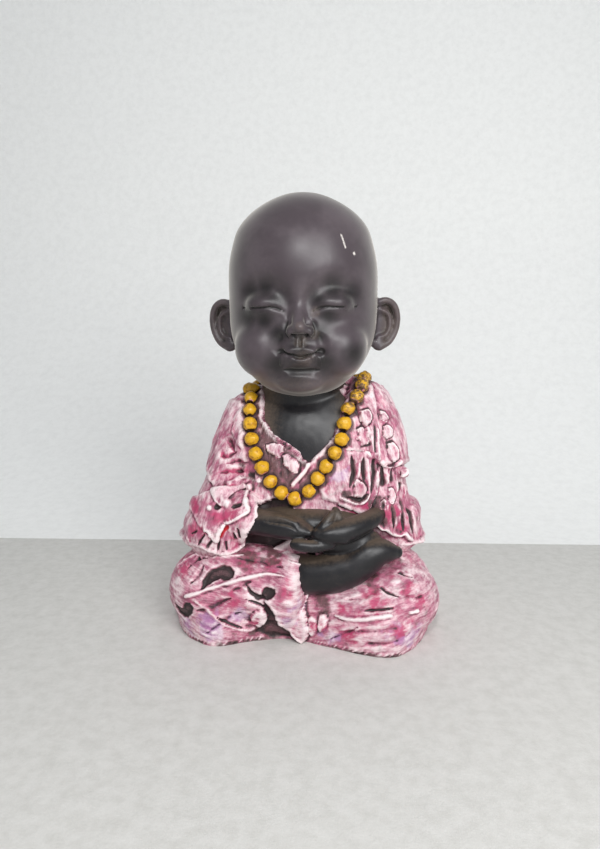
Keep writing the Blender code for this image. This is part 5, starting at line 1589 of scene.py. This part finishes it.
    def lines(self, legs: Carving) -> None:
        """Raises the veins and edges and cuts the hooks, slits and creases, with painted shade in the
        slits.
        """
        crests = (
            (self.right_vein, 1.2, 1.5, 0.64), (self.left_vein, 1.3, 1.5, 0.66),
            (self.cuff_edge, 1.0, 1.0, 0.65),
            (self.cuff_point, 0.9, 0.7, 0.55), (self.lobe_edge, 1.5, 0.9, 0.3),
            (self.top_rim, 1.3, 0.8, 0.3),
        )
        for path, width, height, coat in crests:
            legs.crest(legs.front(path), width, height, 0.95, coat, flat=0.2, taper=0.15)
        for outline in self.hooks:
            legs.panel(outline, -1.5, 0.7, paint=Paint.DARK, coat=0.9)
        for path in self.slits:
            laid = legs.front(path)
            legs.stroke(laid, 1.2, -1.8, taper=0.4)
            # painted shade in the slit
            legs.stroke(laid, 0.9, taper=0.4, paint=Paint.DARK, coat=0.85)
        for path in self.creases:
            legs.draw(path, 2.1, -1.2, taper=0.4)
        for turn in self.seat_folds:
            fold = [(turn, 34), (turn + (turn - 180) * 0.06, 20), (turn, 6)]
            legs.draw_round(fold, 2.4, -1.1)
        legs.refresh()

    def stitch(self, legs: Carving) -> None:
        """Winds a worn row of stitches along the front of the base, dark between them."""
        low = 1 - ease((legs.points[:, 2] - 0.8) / 1.6)
        legs.paint[Paint.DARK] = np.maximum(
            legs.paint[Paint.DARK], low * (0.35 + 0.5 * lattice_noise(legs.points, 5.0, 9)),
        )
        for degrees in np.arange(-74, 75, 1.9):
            if abs(degrees + 9) < 19:  # behind the pointed cuff
                continue
            laid = legs.around([(degrees - 0.5, 0.5), (degrees + 0.6, 2.0)])
            legs.stroke(laid, 0.55, 0.35, taper=0)
            if math.sin(degrees * 1.7) + math.sin(degrees * 0.61) > 0.2:
                legs.stroke(laid, 0.5, taper=0, paint=Paint.WHITE, coat=0.5)

    def model(self) -> Carving:
        """Models and carves the trousers."""
        clay = Clay()
        self.forms(clay)
        legs = Carving(clay, self.voxel)
        legs.soften(2.4)
        self.overhangs(legs)
        self.lines(legs)
        self.stitch(legs)
        legs.relax(1)
        legs.roughen(0.34, 1.5, 3, self.brushed(legs.points))
        legs.roughen(0.14, 1.3, 4)
        legs.weather()
        return legs

    def finish(self) -> bpy.types.Material:
        """The trousers' dry-brushed cloth, brushed along the legs."""
        return DryBrushedCloth("dry_brushed_resin_trousers").material()


@dataclass
class BareSkin(SubAssembly):
    """The bare chest, both hands in the lap, and the foot on the thigh."""

    name: str = "bare_skin"
    voxel: float = 0.6
    neck: Path = (
        (104, 0, 22, -14, 16), (110, 0, 20, -14, 15), (116, 0, 19, -16, 14), (122, 0, 17, -14, 12),
    )
    foot: Path = (
        (-4, -24, 29, 9.0, 9.6), (3, -27, 30, 9, 9.2), (8, -28, 30.4, 9, 9.2), (15, -29, 31.6, 8.6, 9.2),
        (23, -29.5, 34.4, 8, 8.4),
        (28, -29.3, 37.8, 7.4, 8.0), (32, -28.8, 40.4, 6.8, 7.6), (36, -28, 41.6, 6.0, 6.2),
        (40, -27, 41.3, 4.8, 4.6), (43, -26, 40.8, 3.2, 3.0),
    )
    right_hand: Path = (
        (-31, -18, 53, 7, 6.6), (-22, -25, 53.8, 6.4, 6.0), (-14, -28.8, 53.8, 6.2, 5.8),
        (-6, -31, 52.9, 6.0, 5.4), (0, -32.5, 52.4, 5.2, 4.2),
        (4.5, -33, 51.6, 3.6, 2.4),
    )
    left_hand: Path = (
        (40, -10, 56.0, 4.4, 3.8), (35, -19, 56.2, 4.2, 3.6), (31, -25, 55.2, 4.8, 4.2),
        (25, -30, 53.6, 5.4, 5.0), (18.5, -33.5, 52.2, 5.6, 5.4),
        (12.5, -35.4, 51.6, 4.8, 4.4), (8.4, -36.0, 51.9, 3.4, 2.8),
    )
    fingers: Sequence[Path] = (  # each from the knuckle to the tip
        (
            (14, -36.0, 47.4, 2.6, 2.6), (7, -38.0, 46.8, 2.7, 2.7), (0.8, -38.2, 47.2, 2.7, 2.7),
            (-1.8, -37.8, 47.4, 2.3, 2.2),
        ),
        ((9.4, -35.6, 53.8, 2.5, 2.2), (12.2, -34.4, 57.2, 2.3, 2.1), (14.2, -32.6, 59.8, 1.9, 1.8)),
        ((17.5, -33.0, 56.6, 2.2, 2.0), (17.0, -31.6, 59.4, 2.0, 1.8), (15.6, -30.2, 61.2, 1.7, 1.6)),
        ((-16, -31.0, 57.2, 2.4, 1.9), (-8, -33.2, 57.4, 2.2, 1.8), (-1.4, -34.6, 55.6, 2.1, 1.8)),
        ((8.8, -34.4, 51.2, 2.0, 1.8), (13.0, -37.6, 50.6, 2.2, 2.0), (20.0, -36.4, 49.8, 2.2, 2.2)),
    )
    crease: Path = ((-15.5, 56.4), (-10, 56.2), (-4, 55.6), (-0.6, 53.4))

    def chest(self, robe: Robe) -> Path:
        """The robe's sections, drawn in to the level of the bare chest."""
        inset = robe.chest_sunk - 0.9
        kept = [row for row in smooth_rows(robe.sections) if 70 <= row[0] <= 116][::3]
        return [
            (z, middle, half - inset, front + inset, back - inset)
            for z, middle, half, front, back in kept
        ]

    def model(self) -> Carving:
        """Models the bare skin."""
        clay = Clay()
        clay.loft(self.chest(Robe()), power=2.3)
        clay.loft(self.neck)
        for stations in (self.foot, self.right_hand, self.left_hand, *self.fingers):
            clay.limb(stations)
        clay.ball((2, -21, 53), (27, 11, 7.4))
        clay.ball((20, -25, 45.5), (17, 8, 7))
        skin = Carving(clay, self.voxel)
        skin.soften(0.9)
        skin.draw(self.crease, 0.8, -0.7)
        skin.roughen(0.05, 3.0, 5)
        skin.weather(1.0, 2.6)
        chest = ease((skin.points[:, 2] - 76) / 8)
        sides = ease((np.abs(skin.points[:, 0] - 2) - 7) / 14) * ease((skin.points[:, 2] - 80) / 14)
        lap = ease((skin.points[:, 2] - 55) / 4) * (1 - chest)
        skin.paint[Paint.DUST] *= 1 - 0.9 * chest
        skin.paint[Paint.DUST] = np.maximum.reduce([skin.paint[Paint.DUST], 0.8 * sides, 0.6 * lap])
        return skin

    def finish(self) -> bpy.types.Material:
        """The black coat of the hands, foot and chest, dustier than the head's."""
        return SatinBlackResin(
            "satin_black_resin_hands", "#111014", "#1a191d", roughness=0.38, dusty=0.45, bloom=0.05,
        ).material()


@dataclass
class Necklace(SubAssembly):
    """A string of round beads over the chest and round the nape."""

    name: str = "beads"
    voxel: float = 0.42
    diameter: float = 6.4
    gap: float = 0.5
    sunk: float = 0.26  # share of a bead's diameter that is sunk in the body
    shade_reach: float = 2.6  # width of the painted shade round each bead, in units
    fall: Path = (  # x, z laid on the front
        (-23.6, 110.0), (-23.7, 104.6), (-23.1, 98.9), (-22.2, 92.0), (-20.6, 85.6), (-17.8, 79.5),
        (-14.2, 73.6),
        (-9.4, 68.4), (-2.9, 64.8), (4.3, 69.0), (8.7, 75.0), (12.9, 80.6), (16.1, 86.6), (18.2, 93.0),
        (19.6, 98.8),
        (21.5, 104.2), (24.0, 108.4), (26.0, 112.6),
    )
    nape: Path = (
        (27.5, -3), (28.5, 5), (26.5, 14), (18, 22), (3, 25.5), (-12, 22.5), (-22, 14), (-26, 5), (-26, -3),
    )
    places: list = field(default_factory=list)

    def lay(self, body: Carving) -> None:
        """Finds evenly spaced places for the beads on the body, and the way the string runs."""
        front = body.front(self.fall, foremost=False)
        nape = np.array([body.hit((x, y, AFAR), (0, 0, -1)) for x, y in smooth_rows(self.nape, 4)])
        path = np.vstack([front, nape, front[:1]])
        run = np.concatenate([[0], np.cumsum(np.linalg.norm(np.diff(path, axis=0), axis=1))])
        count = round(run[-1] / (self.diameter + self.gap))
        for mark in np.arange(count) * run[-1] / count:
            place, ahead = (
                np.array([np.interp(m, run, path[:, k]) for k in range(3)])
                for m in (mark, mark + 1)
            )
            spot, normal, _, _ = body.tree.find_nearest(Vector(place))
            centre = spot + normal * self.diameter / 2 * (1 - 2 * self.sunk)
            self.places.append((np.array(centre), np.array(normal), ahead - place))

    def model(self) -> Carving:
        """Models the beads, each a little out of round."""
        clay = Clay()
        radius = self.diameter / 2
        for i, (centre, _, _) in enumerate(self.places):
            wobble = [radius * (1 + 0.05 * math.sin(i * k + k)) for k in (2.1, 3.7, 5.3)]
            clay.ball(tuple(centre), wobble, (i * 40, i * 25, 0))
        beads = Carving(clay, self.voxel, rounds=1)
        beads.roughen(0.34, 1.9, 6)
        beads.roughen(0.12, 0.9, 7)
        beads.weather(0.7, 1.6)
        centres = np.array([place for place, _, _ in self.places])
        offsets = beads.points[:, None, :] - centres[None, :, :]
        nearest = np.argmin(np.linalg.norm(offsets, axis=2), axis=1)
        ray = offsets[np.arange(len(beads.points)), nearest] / radius
        along = np.array([d / np.linalg.norm(d) for _, _, d in self.places])[nearest]
        outward = np.array([n for _, n, _ in self.places])[nearest]
        meeting = np.abs(np.sum(ray * along, axis=1))
        # painted shade where the beads meet each other and on the side that faces the cloth
        beads.paint[Paint.DARK] = np.maximum(
            ease((meeting - 0.78) / 0.2), ease((0.1 - np.sum(ray * outward, axis=1)) / 0.6),
        )
        patch = lattice_noise(beads.points, 5.0, 8) > 0.25
        beads.paint[Paint.PINK] = ease((meeting - 0.72) / 0.2) * patch
        beads.paint[Paint.DUST] = ease((beads.points[:, 2] - 103) / 4) * (beads.points[:, 0] > 0)
        return beads

    def finish(self) -> bpy.types.Material:
        """The beads' yellow coat."""
        return YellowBeadPaint().material()


# The studio


@dataclass
class Studio:
    """A plain pale floor and backdrop, soft light, and the camera of the photograph."""

    lens_pixels: float = 650.0  # distance of the picture plane, in pixels of the photograph
    long_side: float = 849.0  # of the photograph, in pixels
    azimuth: float = 4.0  # degrees to the viewer's right of the figure's front
    pitch: float = 9.0  # degrees that the camera looks down
    distance: float = 308.0  # from the figure's axis, in units
    height: float = 143.0
    aside: float = -2.0  # sideways, in units
    wall: float = 105.0  # where the backdrop starts, behind the axis, in units
    sweep: float = 260.0  # radius of its curve up from the floor
    far: float = 900.0  # how far the floor and backdrop reach
    turn: float = 2.0  # degrees that both are turned towards the camera
    sky: float = 0.42  # strength of the even light from all round
    window: Row = (300, -540, 380, 400, 3.1)  # x, y, z and size in units, watts
    ceiling_lamp: Row = (0, -460, 433, 60, 1.0)
    aim: float = 100.0  # height that both lamps face, in units

    def camera(self, move: np.ndarray, scale: float) -> None:
        """Places the camera as the photograph was taken."""
        a, p = math.radians(self.azimuth), math.radians(self.pitch)
        x = self.distance * math.sin(a) + self.aside * math.cos(a)
        y = -self.distance * math.cos(a) + self.aside * math.sin(a)
        data = bpy.data.cameras.new("camera")
        data.lens = self.lens_pixels / self.long_side * data.sensor_width
        data.clip_start = 0.01
        camera = bpy.data.objects.new("camera", data)
        bpy.context.scene.collection.objects.link(camera)
        camera.location = (np.array([x, y, self.height]) + move) * scale
        ahead = Vector((-math.sin(a) * math.cos(p), math.cos(a) * math.cos(p), -math.sin(p)))
        camera.rotation_euler = ahead.to_track_quat("-Z", "Y").to_euler()
        bpy.context.scene.camera = camera

    def board(self, name: str, clean: str, worn: str) -> bpy.types.Material:
        """Matt painted board, faintly mottled and dusty.

        Args:
            name: the material's name.
            clean: its colour where it is clean.
            worn: its colour where it is worn.

        Returns:
            The material.
        """
        f = Finish(name)
        colour = f.blend(
            f.ramp(f.noise(6.0, detail=7.0, rough=0.7), 0.3, 0.75), linear(clean), linear(worn),
        )
        specks = f.ramp(f.noise(2.0, detail=5.0), 0.64, 0.78)
        colour = f.over(colour, "#a9a49b", specks, 0.18)
        f.bump(f.noise(0.9), 0.12)
        return f.feed(Base_Color=colour, Roughness=0.8)

    def ground(self, scale: float) -> None:
        """Lays the floor and, from its far edge, the backdrop that curves up behind the figure."""
        turns = np.radians(np.linspace(0, 90, 33))
        curve = [(self.wall + self.sweep * math.sin(t), self.sweep * (1 - math.cos(t))) for t in turns]
        curve.append((self.wall + self.sweep, self.far))
        flat = [(-self.far, 0.0), (self.wall, 0.0)]
        for name, profile, clean, worn in (
            ("floor", flat, "#d8d7d3", "#cac9c4"),
            ("backdrop", curve, "#fcfdfb", "#f4f5f3"),
        ):
            mesh = bpy.data.meshes.new(name)
            corners = [Vector((x, y, z)) * scale for y, z in profile for x in (-self.far, self.far)]
            mesh.from_pydata(corners, [], [(k, k + 1, k + 3, k + 2) for k in range(0, len(corners) - 2, 2)])
            mesh.shade_smooth()
            mesh.materials.append(self.board("matt_painted_" + name, clean, worn))
            board = bpy.data.objects.new(name, mesh)
            board.rotation_euler = (0, 0, math.radians(self.turn))
            bpy.context.scene.collection.objects.link(board)

    def lamp(self, name: str, row: Row, scale: float) -> None:
        """Hangs a round soft box that faces the figure.

        Args:
            name: the lamp's name.
            row: its x, y, z and size in units, and its watts.
            scale: metres per unit.
        """
        *place, size, watts = row
        data = bpy.data.lights.new(name, "AREA")
        data.shape = "DISK"
        data.size = size * scale
        data.energy = watts
        lamp = bpy.data.objects.new(name, data)
        bpy.context.scene.collection.objects.link(lamp)
        lamp.location = Vector(place) * scale
        aim = Vector((0, 0, self.aim)) * scale - lamp.location
        lamp.rotation_euler = aim.to_track_quat("-Z", "Y").to_euler()

    def light(self, scale: float) -> None:
        """Lights the figure from a window on the right and a lamp above the camera."""
        scene = bpy.context.scene
        scene.view_settings.view_transform = "Standard"
        scene.world = bpy.data.worlds.new("surround")
        scene.world.use_nodes = True
        sky = scene.world.node_tree.nodes["Background"]
        sky.inputs["Color"].default_value = linear("#eef1f6")
        sky.inputs["Strength"].default_value = self.sky
        self.lamp("window", self.window, scale)
        self.lamp("ceiling_lamp", self.ceiling_lamp, scale)


def model_figure() -> list[tuple[SubAssembly, Carving]]:
    """Models every sub-assembly.

    Returns:
        Each sub-assembly with its carved skin.
    """
    head, robe, trousers, skin = Head(), Robe(), Trousers(), BareSkin()
    made = [(part, part.model()) for part in (head, robe, trousers, skin)]
    clay = Clay()
    clay.carved(made[1][1])
    clay.carved(made[3][1])
    necklace = Necklace()
    necklace.lay(Carving(clay, 1.4, rounds=0))
    shade_round_beads(necklace, made[1][1])
    made.append((necklace, necklace.model()))
    for part, carving in made:
        carving.drop_hidden([other for _, other in made if other is not carving])
        log.info("%s carved", part.name)
    return made


def shade_round_beads(necklace: Necklace, robe: Carving) -> None:
    """Paints shade on the cloth round the beads, darkest next to them."""
    centres = np.array([place for place, _, _ in necklace.places])
    gap = np.min(np.linalg.norm(robe.points[:, None, :] - centres[None, :, :], axis=2), axis=1)
    beyond = gap - necklace.diameter / 2
    robe.paint[Paint.DARK] = np.maximum(robe.paint[Paint.DARK], 1 - ease(beyond / necklace.shade_reach))


def main() -> None:
    """Builds the figure over its frame, then the studio."""
    logging.basicConfig(level=logging.INFO, format="%(name)s: %(message)s")
    made = model_figure()
    points = np.vstack([carving.points for _, carving in made])
    low, high = points.min(axis=0), points.max(axis=0)
    low[2] = 0
    scale = (FIGURE_HIGH.z - FIGURE_LOW.z) / (high[2] - low[2])
    centre = np.array(FIGURE_LOW + FIGURE_HIGH) / 2 / scale
    move = np.array([centre[0] - (low[0] + high[0]) / 2, centre[1] - (low[1] + high[1]) / 2, 0])
    for part, carving in made:
        part.show(carving, move, scale)
    studio = Studio()
    studio.camera(move, scale)
    studio.ground(scale)
    studio.light(scale)


if __name__ == "__main__":
    main()
